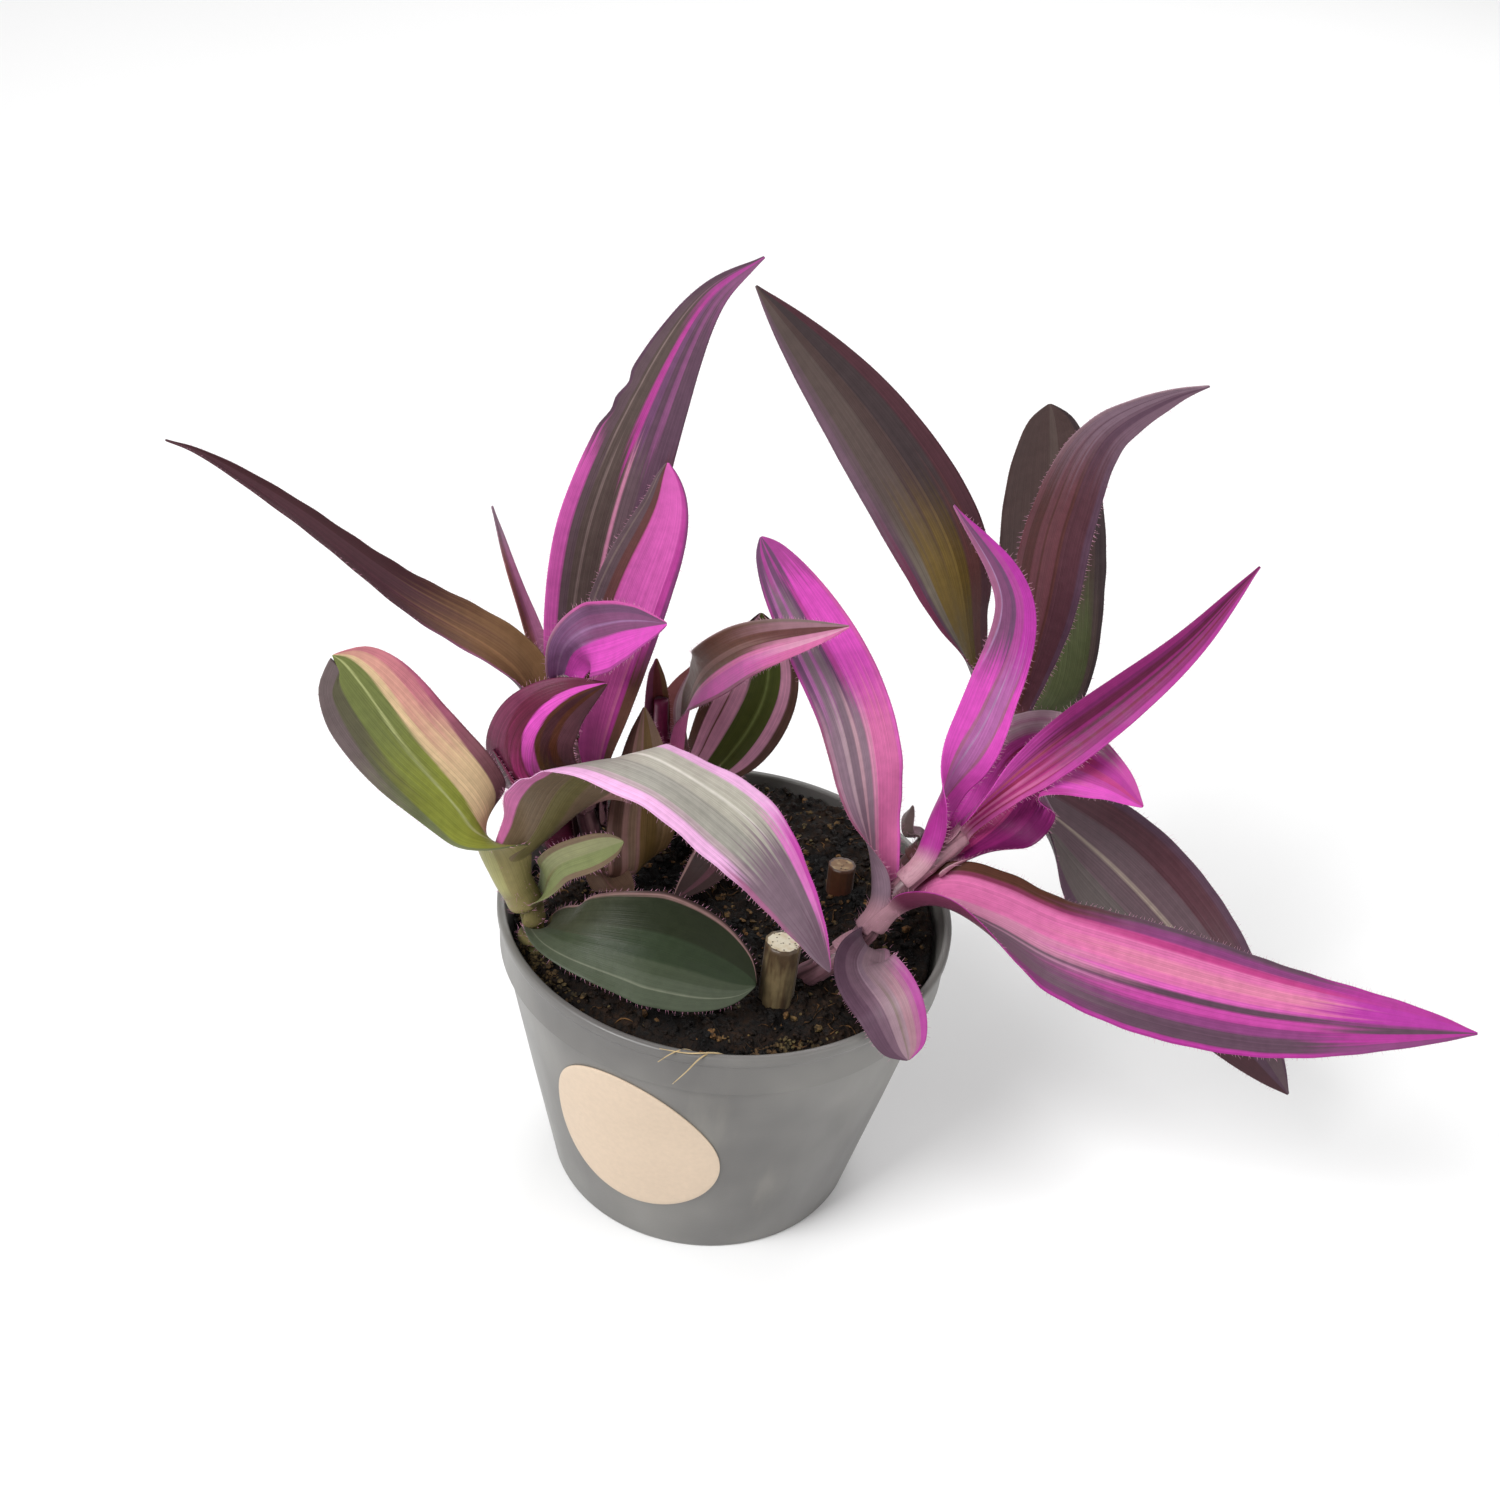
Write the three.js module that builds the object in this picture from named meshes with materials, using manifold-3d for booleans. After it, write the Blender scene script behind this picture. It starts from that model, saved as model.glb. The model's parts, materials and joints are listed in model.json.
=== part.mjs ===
// Potted tradescantia: five leafy shoots in a round nursery pot.
// Millimetres, +Z up, origin at the centre of the pot's base, viewer on the -Y side.
import * as THREE from 'three';
import Module from 'manifold-3d';

const kernel = await Module();
kernel.setup();

// Pot
const potHeight = 87;
const rimRadius = 60;
const baseRadius = 42;
const wall = 2;
const floorThick = 3;
const collarHeight = 13.5;
const collarStep = 1.2;
const drainHoles = 6;
const drainRadius = 3;
const drainCircle = 27;

// Soil
const soilTop = 79;
const fitGap = 0.3;

// Leaves
const leafThick = 0.8;
const sheathGap = 0.35;

function vec(a) {
  return new THREE.Vector3(a[0], a[1], a[2]);
}

function mix(a, b, k) {
  return a + (b - a) * k;
}

function ease(a, b, x) {
  return THREE.MathUtils.smoothstep(x, a, b);
}

// Closed curve tools: a smooth path through the given points, sampled evenly by length.
function path(points, count) {
  const curve = new THREE.CatmullRomCurve3(points, false, 'centripetal');
  curve.arcLengthDivisions = 400;
  const spots = curve.getSpacedPoints(count);
  return { spots, length: curve.getLength() };
}

function tangents(spots) {
  return spots.map((p, i) => {
    const before = spots[Math.max(i - 1, 0)];
    const after = spots[Math.min(i + 1, spots.length - 1)];
    return after.clone().sub(before).normalize();
  });
}

function square(v, tangent) {
  return v.clone().addScaledVector(tangent, -v.dot(tangent)).normalize();
}

// Solid from a grid of front points and a grid of back points, closed round its border.
function slab(front, back) {
  const rows = front.length;
  const cols = front[0].length;
  const points = [];
  const faces = [];
  for (const grid of [front, back]) {
    for (const row of grid) for (const p of row) points.push(p.x, p.y, p.z);
  }
  const at = (side, i, j) => side * rows * cols + i * cols + j;
  const quad = (a, b, c, d) => faces.push(a, b, c, a, c, d);
  for (let i = 0; i < rows - 1; i++) {
    for (let j = 0; j < cols - 1; j++) {
      quad(at(0, i, j), at(0, i + 1, j), at(0, i + 1, j + 1), at(0, i, j + 1));
      faces.push(at(1, i, j), at(1, i + 1, j + 1), at(1, i + 1, j));
      faces.push(at(1, i, j), at(1, i, j + 1), at(1, i + 1, j + 1));
    }
  }
  for (let i = 0; i < rows - 1; i++) {
    quad(at(0, i, 0), at(1, i, 0), at(1, i + 1, 0), at(0, i + 1, 0));
    quad(at(0, i + 1, cols - 1), at(1, i + 1, cols - 1), at(1, i, cols - 1), at(0, i, cols - 1));
  }
  for (let j = 0; j < cols - 1; j++) {
    quad(at(0, 0, j + 1), at(1, 0, j + 1), at(1, 0, j), at(0, 0, j));
    quad(at(0, rows - 1, j), at(1, rows - 1, j), at(1, rows - 1, j + 1), at(0, rows - 1, j + 1));
  }
  return solid(points, faces);
}

function solid(points, faces) {
  const geometry = new THREE.BufferGeometry();
  geometry.setAttribute('position', new THREE.Float32BufferAttribute(points, 3));
  geometry.setIndex(faces);
  let volume = 0;
  for (let i = 0; i < faces.length; i += 3) {
    const [a, b, c] = [0, 1, 2].map((k) => new THREE.Vector3().fromArray(points, faces[i + k] * 3));
    volume += a.dot(b.cross(c)) / 6;
  }
  if (volume < 0) {
    const turned = [];
    for (let i = 0; i < faces.length; i += 3) turned.push(faces[i], faces[i + 2], faces[i + 1]);
    geometry.setIndex(turned);
  }
  return geometry;
}

// Round bar along a path; the radius may change along it and each end is a flat cap.
function bar(points, radiusAt, sides, rows, capTilt = 0) {
  const { spots } = path(points.map(vec), rows);
  const along = tangents(spots);
  const coords = [];
  const faces = [];
  let across = square(new THREE.Vector3(1, 0, 0), along[0]);
  spots.forEach((p, i) => {
    across = square(across, along[i]);
    const other = new THREE.Vector3().crossVectors(along[i], across);
    const r = radiusAt(i / rows);
    for (let k = 0; k < sides; k++) {
      const turn = (2 * Math.PI * k) / sides;
      const q = p.clone();
      q.addScaledVector(across, r * Math.cos(turn)).addScaledVector(other, r * Math.sin(turn));
      if (i === rows) q.addScaledVector(along[i], capTilt * Math.cos(turn) * r);
      coords.push(q.x, q.y, q.z);
    }
  });
  for (let i = 0; i < rows; i++) {
    for (let k = 0; k < sides; k++) {
      const next = (k + 1) % sides;
      const [a, b] = [i * sides + k, i * sides + next];
      faces.push(a, b, b + sides, a, b + sides, a + sides);
    }
  }
  for (const [row, flip] of [[0, true], [rows, false]]) {
    const middle = coords.length / 3;
    const p = spots[row];
    coords.push(p.x, p.y, p.z);
    for (let k = 0; k < sides; k++) {
      const [a, b] = [row * sides + k, row * sides + ((k + 1) % sides)];
      faces.push(middle, flip ? b : a, flip ? a : b);
    }
  }
  return solid(coords, faces);
}

// Shape turned round the Z axis from [radius, height] pairs that start and end on the axis.
function turned(profile, segments) {
  const low = profile[0];
  const high = profile[profile.length - 1];
  const rings = profile.slice(1, -1);
  const count = rings.length;
  const points = [0, 0, low[1], 0, 0, high[1]];
  const faces = [];
  for (let k = 0; k < segments; k++) {
    const angle = (2 * Math.PI * k) / segments;
    for (const [r, z] of rings) points.push(r * Math.cos(angle), r * Math.sin(angle), z);
  }
  const at = (k, i) => 2 + (k % segments) * count + i;
  for (let k = 0; k < segments; k++) {
    faces.push(0, at(k + 1, 0), at(k, 0), 1, at(k, count - 1), at(k + 1, count - 1));
    for (let i = 0; i < count - 1; i++) {
      faces.push(at(k, i), at(k + 1, i), at(k + 1, i + 1), at(k, i), at(k + 1, i + 1), at(k, i + 1));
    }
  }
  return solid(points, faces);
}

function toKernel(geometry) {
  const mesh = new kernel.Mesh({
    numProp: 3,
    vertProperties: new Float32Array(geometry.attributes.position.array),
    triVerts: new Uint32Array(geometry.index.array),
  });
  mesh.merge();
  return new kernel.Manifold(mesh);
}

function fromKernel(manifold) {
  const mesh = manifold.getMesh();
  const geometry = new THREE.BufferGeometry();
  geometry.setAttribute('position', new THREE.Float32BufferAttribute(mesh.vertProperties, 3));
  geometry.setIndex(Array.from(mesh.triVerts));
  return geometry;
}

const group = new THREE.Group();
group.name = 'potted_tradescantia';

function add(name, geometry, colour) {
  const plain = geometry.index ? geometry.toNonIndexed() : geometry;
  plain.computeVertexNormals();
  const mesh = new THREE.Mesh(plain, new THREE.MeshStandardMaterial({ color: colour, roughness: 0.6 }));
  mesh.name = name;
  group.add(mesh);
}

// Stems: points run from inside the soil to the top; radius at the foot and at the top.
const stems = {
  left: {
    radius: [2.9, 2.3], hue: 0xb9c07c,
    points: [[-46, -17, 64], [-49, -16, 87], [-53, -16, 98], [-56, -17, 111]],
  },
  middle: {
    radius: [3.2, 2.0], hue: 0x8a6a72,
    points: [[-32, 17, 64], [-37, 8, 98], [-42, 6, 118], [-45, 4, 135], [-46, 2, 150]],
  },
  back: {
    radius: [2.6, 1.9], hue: 0xb02a86,
    points: [[-8, 42, 64], [-17, 37, 98], [-22, 36, 112], [-23, 36, 124]],
  },
  right: {
    radius: [3.6, 2.2], hue: 0xb08a8c,
    points: [[14, -15, 70], [26, -17, 82], [36, -13, 91], [43, -9, 103], [51, -4, 110], [59, 2, 115]],
  },
  rear: {
    radius: [3.2, 2.2], hue: 0x7d5f66,
    points: [[43, 22, 64], [47, 22, 86], [54, 24, 95], [62, 32, 107], [72, 44, 126]],
  },
};

// Leaves. at: height of the sheath's foot along the stem. sheath: its length.
// wrap: how many sheaths it encloses. through: midrib points after the sheath.
// out: side of the stem it leaves from. face: where its upper side looks, in even steps up to the tip.
// cup: half angle of the trough across the blade, below zero where its edges turn down.
// broad: where it is widest. swell: how soon it gets there. blunt: roundness of the tip.
const leaves = {
  left_leaf_1: {
    stem: 'left', at: 29, sheath: 5, width: 26, wrap: 1, broad: 0.65, blunt: 0.5, belly: 3.5, cup: 14,
    notch: 5, swell: 1.3, neck: 1.8,
    through: [[-64, -20, 123], [-81, -24, 146], [-97, -26, 169]], face: [[0.3, -0.75, 0.55]], wave: 0.6,
  },
  left_leaf_2: {
    stem: 'left', at: 36, sheath: 6, width: 29, broad: 0.4, swell: 4, neck: 1.9, cup: -20, cupTip: -16,
    blunt: 0.8, out: [0.5, -0.8, 0],
    through: [
      [-47, -20, 118], [-39, -26, 139], [-25, -37, 157], [3, -45, 146], [19, -47, 124], [27, -48, 108],
    ],
    face: [[-0.3, 0.95, 0.1], [0, 0.1, 1], [0.5, -0.6, 0.65], [0.6, -0.6, 0.5]],
  },
  left_leaf_3: {
    stem: 'left', at: 23, sheath: 4, width: 10, broad: 0.7, blunt: 0.5, cup: 30, out: [1, -0.2, 0],
    through: [[-43, -22, 110], [-34, -26, 119], [-26, -29, 126]], face: [[0, -0.8, 0.6]],
  },
  left_leaf_4: {
    stem: 'left', at: 18, sheath: 3, width: 29, wrap: 1, broad: 0.6, blunt: 0.6, cup: 16, out: [0.6, -0.8, 0],
    swell: 1, neck: 1.1,
    through: [[-38, -31, 97], [-16, -36, 99], [10, -34, 89]], face: [[0, -0.75, 0.65]], wave: 0.8,
  },
  middle_leaf_1: {
    stem: 'middle', at: 66, sheath: 5, width: 17, wrap: 1, out: [-1, 0.3, 0], broad: 0.2, cup: 50, cupTip: 60,
    belly: 1.2,
    through: [[-59, 6, 150], [-86, 0, 171], [-111, -6, 195], [-131, -10, 210], [-137, -12, 213]],
  },
  middle_leaf_2: {
    stem: 'middle', at: 72, sheath: 4, width: 7, out: [-0.5, 0.9, 0], broad: 0.25, belly: 1.2, cup: 70,
    through: [[-55, 21, 147], [-63, 25, 167], [-68, 25, 184]],
  },
  middle_leaf_3: {
    stem: 'middle', at: 34, sheath: 5, width: 26, wrap: 1, broad: 0.5, belly: 1.4, cup: 24, out: [0.1, 1, 0],
    through: [[-42, 20, 139], [-40, 26, 176], [-32, 32, 209], [-19, 36, 240], [-7, 38, 251]],
    face: [[0.1, -0.95, 0.3]], nicks: [[-1, 0.69, 0.12], [-1, 0.735, 0.16]],
  },
  middle_leaf_4: {
    stem: 'middle', at: 41, sheath: 5, width: 20, wrap: 1, broad: 0.6, swell: 2, blunt: 0.67, cup: 24,
    out: [0.3, 1, 0], through: [[-39, 12, 129], [-32, 14, 167], [-25, 17, 193], [-25, 18, 205]],
    face: [[0.1, -0.95, 0.3]],
  },
  middle_leaf_5: {
    stem: 'middle', at: 77, sheath: 4, width: 19, broad: 0.5, swell: 1, cup: 34, out: [-0.2, 1, 0],
    through: [[-44, 3, 158], [-34, -8, 171], [-20, -22, 185]], face: [[0.1, -0.75, 0.6]],
  },
  middle_leaf_6: {
    stem: 'middle', at: 46, sheath: 5, width: 25, broad: 0.5, swell: 2.2, cup: 30, out: [-0.3, -0.9, 0],
    through: [[-47, -9, 121], [-52, -13, 133], [-51, -14, 144], [-45, -13, 152], [-34, -9, 158]],
    face: [[0.2, 0.9, -0.2], [0.3, 0.8, 0]],
  },
  middle_leaf_7: {
    stem: 'middle', at: 29, sheath: 5, width: 16, wrap: 1, broad: 0.5, cup: 50, out: [-0.9, -0.5, 0],
    through: [[-48, -1, 100], [-56, -7, 120], [-61, -11, 136]],
  },
  base_leaf_1: {
    stem: 'middle', at: 19, sheath: 3, width: 19, broad: 0.4, swell: 3.5, neck: 2, cup: 24,
    out: [0.8, -0.5, 0], face: [[-0.1, 0.9, 0.3]],
    through: [[-25, 3, 90], [-24, 8, 109], [-25, 11, 124], [-26, 13, 137]],
  },
  base_leaf_2: {
    stem: 'middle', at: 23, sheath: 3, width: 12, broad: 0.6, cup: 30, out: [0.2, -1, 0],
    through: [[-29, -6, 92], [-24, -11, 96]],
  },
  base_leaf_3: {
    stem: 'back', at: 19, sheath: 3, width: 14, broad: 0.5, cup: 20, out: [0.5, -1, 0],
    through: [[-3, 23, 88], [-6, 12, 87], [-14, 1, 84]],
  },
  back_leaf_1: {
    stem: 'back', at: 36, sheath: 5, width: 15, broad: 0.5, cup: 30, out: [1, -0.4, 0],
    through: [[-15, 33, 127], [-4, 13, 156], [22, -13, 184]], face: [[0.1, -0.8, 0.6]],
  },
  back_leaf_2: {
    stem: 'back', at: 44, sheath: 4, width: 8, out: [-0.3, 1, 0], broad: 0.4, cup: 60,
    through: [[-25, 36, 132], [-25, 33, 139]],
  },
  back_leaf_3: {
    stem: 'back', at: 22, sheath: 4, width: 25, broad: 0.55, swell: 2.2, blunt: 0.7, cup: 22,
    out: [0.6, 0.8, 0], through: [[-6, 48, 100], [2, 54, 120], [1, 58, 141]], face: [[0, -0.8, 0.6]],
  },
  back_leaf_4: {
    stem: 'back', at: 29, sheath: 4, width: 9, broad: 0.5, cup: 40, out: [0.3, 1, 0],
    through: [[-20, 44, 117], [-16, 48, 128]],
  },
  right_leaf_1: {
    stem: 'right', at: 33, sheath: 5, width: 19.5, broad: 0.6, swell: 2.4, neck: 2.1, blunt: 0.55, cup: 24,
    out: [-0.9, 0.3, 0], through: [[36, -3, 111], [27, 5, 147], [-1, 12, 191]], face: [[0.15, -0.9, 0.4]],
  },
  right_leaf_2: {
    stem: 'right', at: 49, sheath: 6, width: 15, broad: 0.35, swell: 4, neck: 2, cup: 36,
    out: [-0.6, 0.3, 0.5], through: [[50, 2, 121], [60, 8, 151], [62, 12, 180], [44, 16, 203]],
    face: [[-0.3, -0.8, 0.4], [0.6, -0.7, 0.5]],
  },
  right_leaf_3: {
    stem: 'right', at: 63, sheath: 5, width: 14, broad: 0.45, belly: 1.5, cup: 36, out: [0, 0.9, 0.2],
    through: [[70, 4, 134], [93, 12, 155], [107, 16, 171], [121, 22, 192]], face: [[0, -0.7, 0.7]],
  },
  right_leaf_4: {
    stem: 'right', at: 57, sheath: 5, width: 30, wrap: 1, broad: 0.4, cup: 30, out: [0.3, 0.5, -0.7],
    through: [[67, 12, 115], [76, 13, 134], [92, 6, 135], [102, 0, 132]], face: [[0, -0.5, 0.85]],
  },
  right_leaf_5: {
    stem: 'right', at: 35, sheath: 6, width: 32, broad: 0.35, swell: 4, belly: 2.3, cup: 22,
    out: [0.8, -0.4, -0.4],
    through: [[54, -14, 106], [68, -17, 104], [86, -20, 98], [135, -26, 92], [190, -32, 97]],
    face: [[0.1, -0.5, 0.85]], wave: 0.8,
  },
  right_leaf_6: {
    stem: 'right', at: 24, sheath: 5, width: 18, broad: 0.6, blunt: 0.4, cup: 24, out: [-0.1, -1, 0],
    through: [[36, -28, 94], [43, -42, 94], [49, -50, 84]], swell: 1.4, face: [[-0.2, -0.6, 0.75]],
  },
  rear_leaf_1: {
    stem: 'rear', at: 61, sheath: 6, width: 26, out: [-0.8, 0.4, 0.3], broad: 0.5, cup: 24,
    through: [[59, 48, 136], [46, 52, 170], [24, 56, 200], [-9, 60, 234]], face: [[0, -0.85, 0.5]],
  },
  rear_leaf_2: {
    stem: 'rear', at: 68, sheath: 6, width: 19, out: [0.2, 0.9, 0], broad: 0.45, cup: 40,
    through: [[73, 40, 159], [73, 36, 192], [78, 30, 219], [91, 25, 233], [99, 22, 238]],
  },
  rear_leaf_3: {
    stem: 'rear', at: 54, sheath: 6, width: 30, wrap: 1, out: [0.3, 0.9, -0.2], broad: 0.6, blunt: 0.5,
    cup: 24, swell: 1.2, through: [[81, 56, 127], [76, 62, 165], [69, 68, 207]], face: [[0.1, -0.9, 0.4]],
  },
  rear_leaf_4: {
    stem: 'rear', at: 42, sheath: 6, width: 38, out: [0.8, -0.2, -0.4], broad: 0.4, swell: 2.6, cup: 20,
    through: [[72, 30, 110], [96, 25, 96], [131, 20, 65], [165, 14, 27]], face: [[0.1, -0.8, 0.55]],
  },
  rear_leaf_5: {
    stem: 'rear', at: 27, sheath: 4, width: 9, broad: 0.5, cup: 40, out: [-1, 0, 0.3],
    through: [[46, 24, 97], [47, 24, 107]],
  },
};

// Spot and direction on a stem at a given length from its foot.
function onStem(stem, height) {
  const { spots, length } = path(stem.points.map(vec), 240);
  const i = Math.min(Math.floor((240 * height) / length), 239);
  const k = i / 240;
  const axis = spots[i + 1].clone().sub(spots[i]).normalize();
  return { spot: spots[i], axis, radius: mix(...stem.radius, k) };
}

// Leaf: a trough swept along the midrib. At the foot the trough is a sleeve round the stem.
// spare makes it fatter all round, for cutting clearance in a neighbour.
function leafGrids(leaf, spare = 0) {
  const fine = 240;
  const stem = onStem(stems[leaf.stem], leaf.at);
  const first = vec(leaf.through[0]);
  const out = square(leaf.out ? vec(leaf.out) : first.clone().sub(stem.spot), stem.axis);
  const sleeve = stem.radius + sheathGap + leafThick / 2 + (leaf.wrap ?? 0) * (leafThick + sheathGap);
  const foot = stem.spot.clone().addScaledVector(out, sleeve);
  const mouth = foot.clone().addScaledVector(stem.axis, leaf.sheath);
  const lip = mouth.clone().addScaledVector(stem.axis, 2.5).addScaledVector(out, 0.8);
  const { spots, length } = path([foot, mouth, lip, ...leaf.through.map(vec)], fine);
  const along = tangents(spots);

  const natural = [square(out.clone().negate(), along[0])];
  for (let i = 1; i <= fine; i++) natural.push(square(natural[i - 1], along[i]));
  const start = leaf.sheath / length;
  const blade = (t) => THREE.MathUtils.clamp((t - start) / (1 - start), 0, 1);
  const aims = leaf.face?.length === 1 ? [leaf.face[0], leaf.face[0]] : leaf.face ?? [];
  const facing = natural.map((n, i) => {
    const x = blade(i / fine);
    const aim = n.clone();
    aims.forEach((f, k) => aim.lerp(vec(f).normalize(), ease(k / aims.length, (k + 1) / aims.length, x)));
    return square(aim, along[i]);
  });

  const clasp = leaf.clasp ?? 1.9;
  const neck = leaf.neck ?? 1.35;
  const broad = leaf.broad ?? 0.5;
  const cup = THREE.MathUtils.degToRad(leaf.cup);
  const cupTip = THREE.MathUtils.degToRad(leaf.cupTip ?? leaf.cup * 0.8);
  const halfWidth = (t) => {
    const rise = mix(clasp, neck, ease(start * 0.5, start + 3 / length, t)) * sleeve;
    const swell = THREE.MathUtils.clamp((t - start) / (broad - start), 0, 1);
    const full = mix(rise, leaf.width / 2, 1 - Math.pow(1 - swell, leaf.swell ?? 1.6));
    const x = THREE.MathUtils.clamp((t - broad) / (1 - broad), 0, 1);
    return Math.max(full * Math.pow(1 - Math.pow(x, leaf.belly ?? 2), leaf.blunt ?? 0.9), 0.35);
  };
  const bend = (t) => {
    const open = mix(clasp, neck, ease(start * 0.5, start + 3 / length, t));
    const angle = mix(open, mix(cup, cupTip, t), ease(start + 2 / length, Math.max(0.35, start + 0.1), t));
    return Math.abs(angle) < 0.02 ? 0.02 : angle;
  };

  const steps = Math.round(length / 15) + 3;
  const rows = [0, start, start + 3 / length, start + 7 / length];
  for (let k = 1; k <= steps; k++) rows.push(mix(start + 7 / length, 1, 1 - Math.pow(1 - k / steps, 1.25)));
  const front = [];
  const back = [];
  for (const t of rows) {
    const i = Math.min(Math.round(t * fine), fine);
    const side = new THREE.Vector3().crossVectors(along[i], facing[i]);
    const angle = bend(t);
    const reach = halfWidth(t) / angle;
    const upper = [];
    const lower = [];
    for (let k = -2; k <= 2; k++) {
      const u = k / 2;
      let cut = 1;
      for (const [edge, where, depth] of leaf.nicks ?? []) {
        if (Math.sign(u) === edge) cut -= depth * Math.exp(-Math.pow((t - where) / 0.012, 2));
      }
      const turn = u * angle * cut * (1 + spare / halfWidth(t));
      const p = spots[i].clone();
      p.addScaledVector(side, reach * Math.sin(turn));
      p.addScaledVector(facing[i], reach * (1 - Math.cos(turn)));
      const ripple = (leaf.wave ?? 0.4) * u * u * ease(start, start + 0.25, t) * (1 - ease(0.85, 1, t));
      p.addScaledVector(facing[i], ripple * Math.sin(14 * t + (u > 0 ? 1.9 : 0)));
      const nip = (leaf.notch ?? 0) * ease(0.9, 1, t) * Math.max(0, 1 - Math.abs(u + 0.5) / 0.4);
      p.addScaledVector(along[i], -nip);
      const normal = facing[i].clone().multiplyScalar(Math.cos(turn)).addScaledVector(side, -Math.sin(turn));
      if (t === 0) p.addScaledVector(along[i], -spare);
      if (t === 1) p.addScaledVector(along[i], spare);
      upper.push(p.clone().addScaledVector(normal, leafThick / 2 + spare));
      lower.push(p.clone().addScaledVector(normal, -leafThick / 2 - spare));
    }
    front.push(upper);
    back.push(lower);
  }
  return [front, back];
}

const leafHue = {
  left: 0x8f9a86, middle: 0x9c4f8c, back: 0x8a6070, right: 0xc46aa8, rear: 0x6b5560, base: 0x7a5a62,
};

function stemBar(name, spare) {
  const stem = stems[name];
  return bar(stem.points, (k) => mix(...stem.radius, k) + spare, 8, name === 'right' ? 10 : 7);
}

// Largest piece of a cut solid
function mainPiece(solidBody) {
  const pieces = solidBody.decompose();
  return pieces.reduce((a, b) => (b.volume() > a.volume() ? b : a));
}

// A lower leaf's sleeve is nipped back where the stem or an upper leaf comes out through it.
for (const [name, leaf] of Object.entries(leaves)) {
  let body = toKernel(slab(...leafGrids(leaf)));
  const others = Object.values(leaves).filter((b) => b !== leaf && b.stem === leaf.stem && b.at > leaf.at);
  const above = others.map((b) => (gap) => slab(...leafGrids(b, gap)));
  const shapes = [(gap) => stemBar(leaf.stem, gap), ...above];
  for (const shape of shapes) {
    if (body.intersect(toKernel(shape(0.08))).volume() < 0.002) continue;
    body = mainPiece(body.subtract(toKernel(shape(fitGap)))).simplify(0.02);
  }
  add(name, fromKernel(body), leafHue[name.split('_')[0]]);
}

// Stems
for (const [name, stem] of Object.entries(stems)) add(name + '_stem', stemBar(name, 0), stem.hue);

// Cut stems left in the soil
const stumps = {
  cut_stem_1: { points: [[15, -27, 66], [15.3, -26.4, 85], [15.6, -25.6, 97]], radius: 4.5, hue: 0x8c7a4e },
  cut_stem_2: { points: [[30, 15, 66], [30, 16, 82], [30, 17, 90]], radius: 3.6, hue: 0x7a4a34 },
};
for (const [name, stump] of Object.entries(stumps)) {
  stump.solid = bar(stump.points, (k) => stump.radius * (1 + 0.05 * Math.cos(9 * k)), 12, 4, 0.12);
  add(name, stump.solid, stump.hue);
}

// Soil: a plug that fills the pot, lumpy on top, with a plain hole round each stem.
const innerRadius = (z) => mix(baseRadius, rimRadius - collarStep - 1, z / (potHeight - collarHeight)) - wall;
const soilRadius = innerRadius(soilTop - 6) - fitGap;
function soilHeight(x, y) {
  const lumps = Math.sin(0.31 * x + 1.7) * Math.cos(0.27 * y - 0.6) + 0.6 * Math.sin(0.63 * x - 0.5 * y);
  return soilTop + 0.8 * lumps;
}
function soilPlug() {
  const rings = 6;
  const segments = 24;
  const points = [0, 0, soilHeight(0, 0)];
  const faces = [];
  for (let r = 1; r <= rings; r++) {
    for (let k = 0; k < segments; k++) {
      const angle = (2 * Math.PI * (k + 0.5 * (r % 2))) / segments;
      const reach = (soilRadius * r) / rings;
      const [x, y] = [reach * Math.cos(angle), reach * Math.sin(angle)];
      points.push(x, y, r === rings ? soilTop - 1 : soilHeight(x, y));
    }
  }
  const ring = (r, k) => 1 + (r - 1) * segments + (k % segments);
  for (let k = 0; k < segments; k++) faces.push(0, ring(1, k), ring(1, k + 1));
  for (let r = 1; r < rings; r++) {
    for (let k = 0; k < segments; k++) {
      const shift = r % 2 ? 1 : 0;
      const [a, b] = [ring(r, k), ring(r, k + 1)];
      const [c, d] = [ring(r + 1, k + shift), ring(r + 1, k + shift + 1)];
      if (shift) faces.push(a, c, b, b, c, d);
      else faces.push(a, c, d, a, d, b);
    }
  }
  const low = points.length / 3;
  const floorRadius = innerRadius(floorThick) - fitGap;
  for (let k = 0; k < segments; k++) {
    const angle = (2 * Math.PI * (k + 0.5 * (rings % 2))) / segments;
    points.push(floorRadius * Math.cos(angle), floorRadius * Math.sin(angle), floorThick + fitGap);
  }
  const centre = points.length / 3;
  points.push(0, 0, floorThick + fitGap);
  for (let k = 0; k < segments; k++) {
    const next = (k + 1) % segments;
    faces.push(ring(rings, k), low + k, ring(rings, k + 1), ring(rings, k + 1), low + k, low + next);
    faces.push(centre, low + next, low + k);
  }
  return solid(points, faces);
}
let soil = toKernel(soilPlug());
for (const name of Object.keys(stems)) soil = soil.subtract(toKernel(stemBar(name, fitGap)));
for (const stump of Object.values(stumps)) {
  soil = soil.subtract(toKernel(bar(stump.points, () => stump.radius * 1.05 + fitGap, 12, 4)));
}
add('soil', fromKernel(soil), 0x2a2019);

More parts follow.
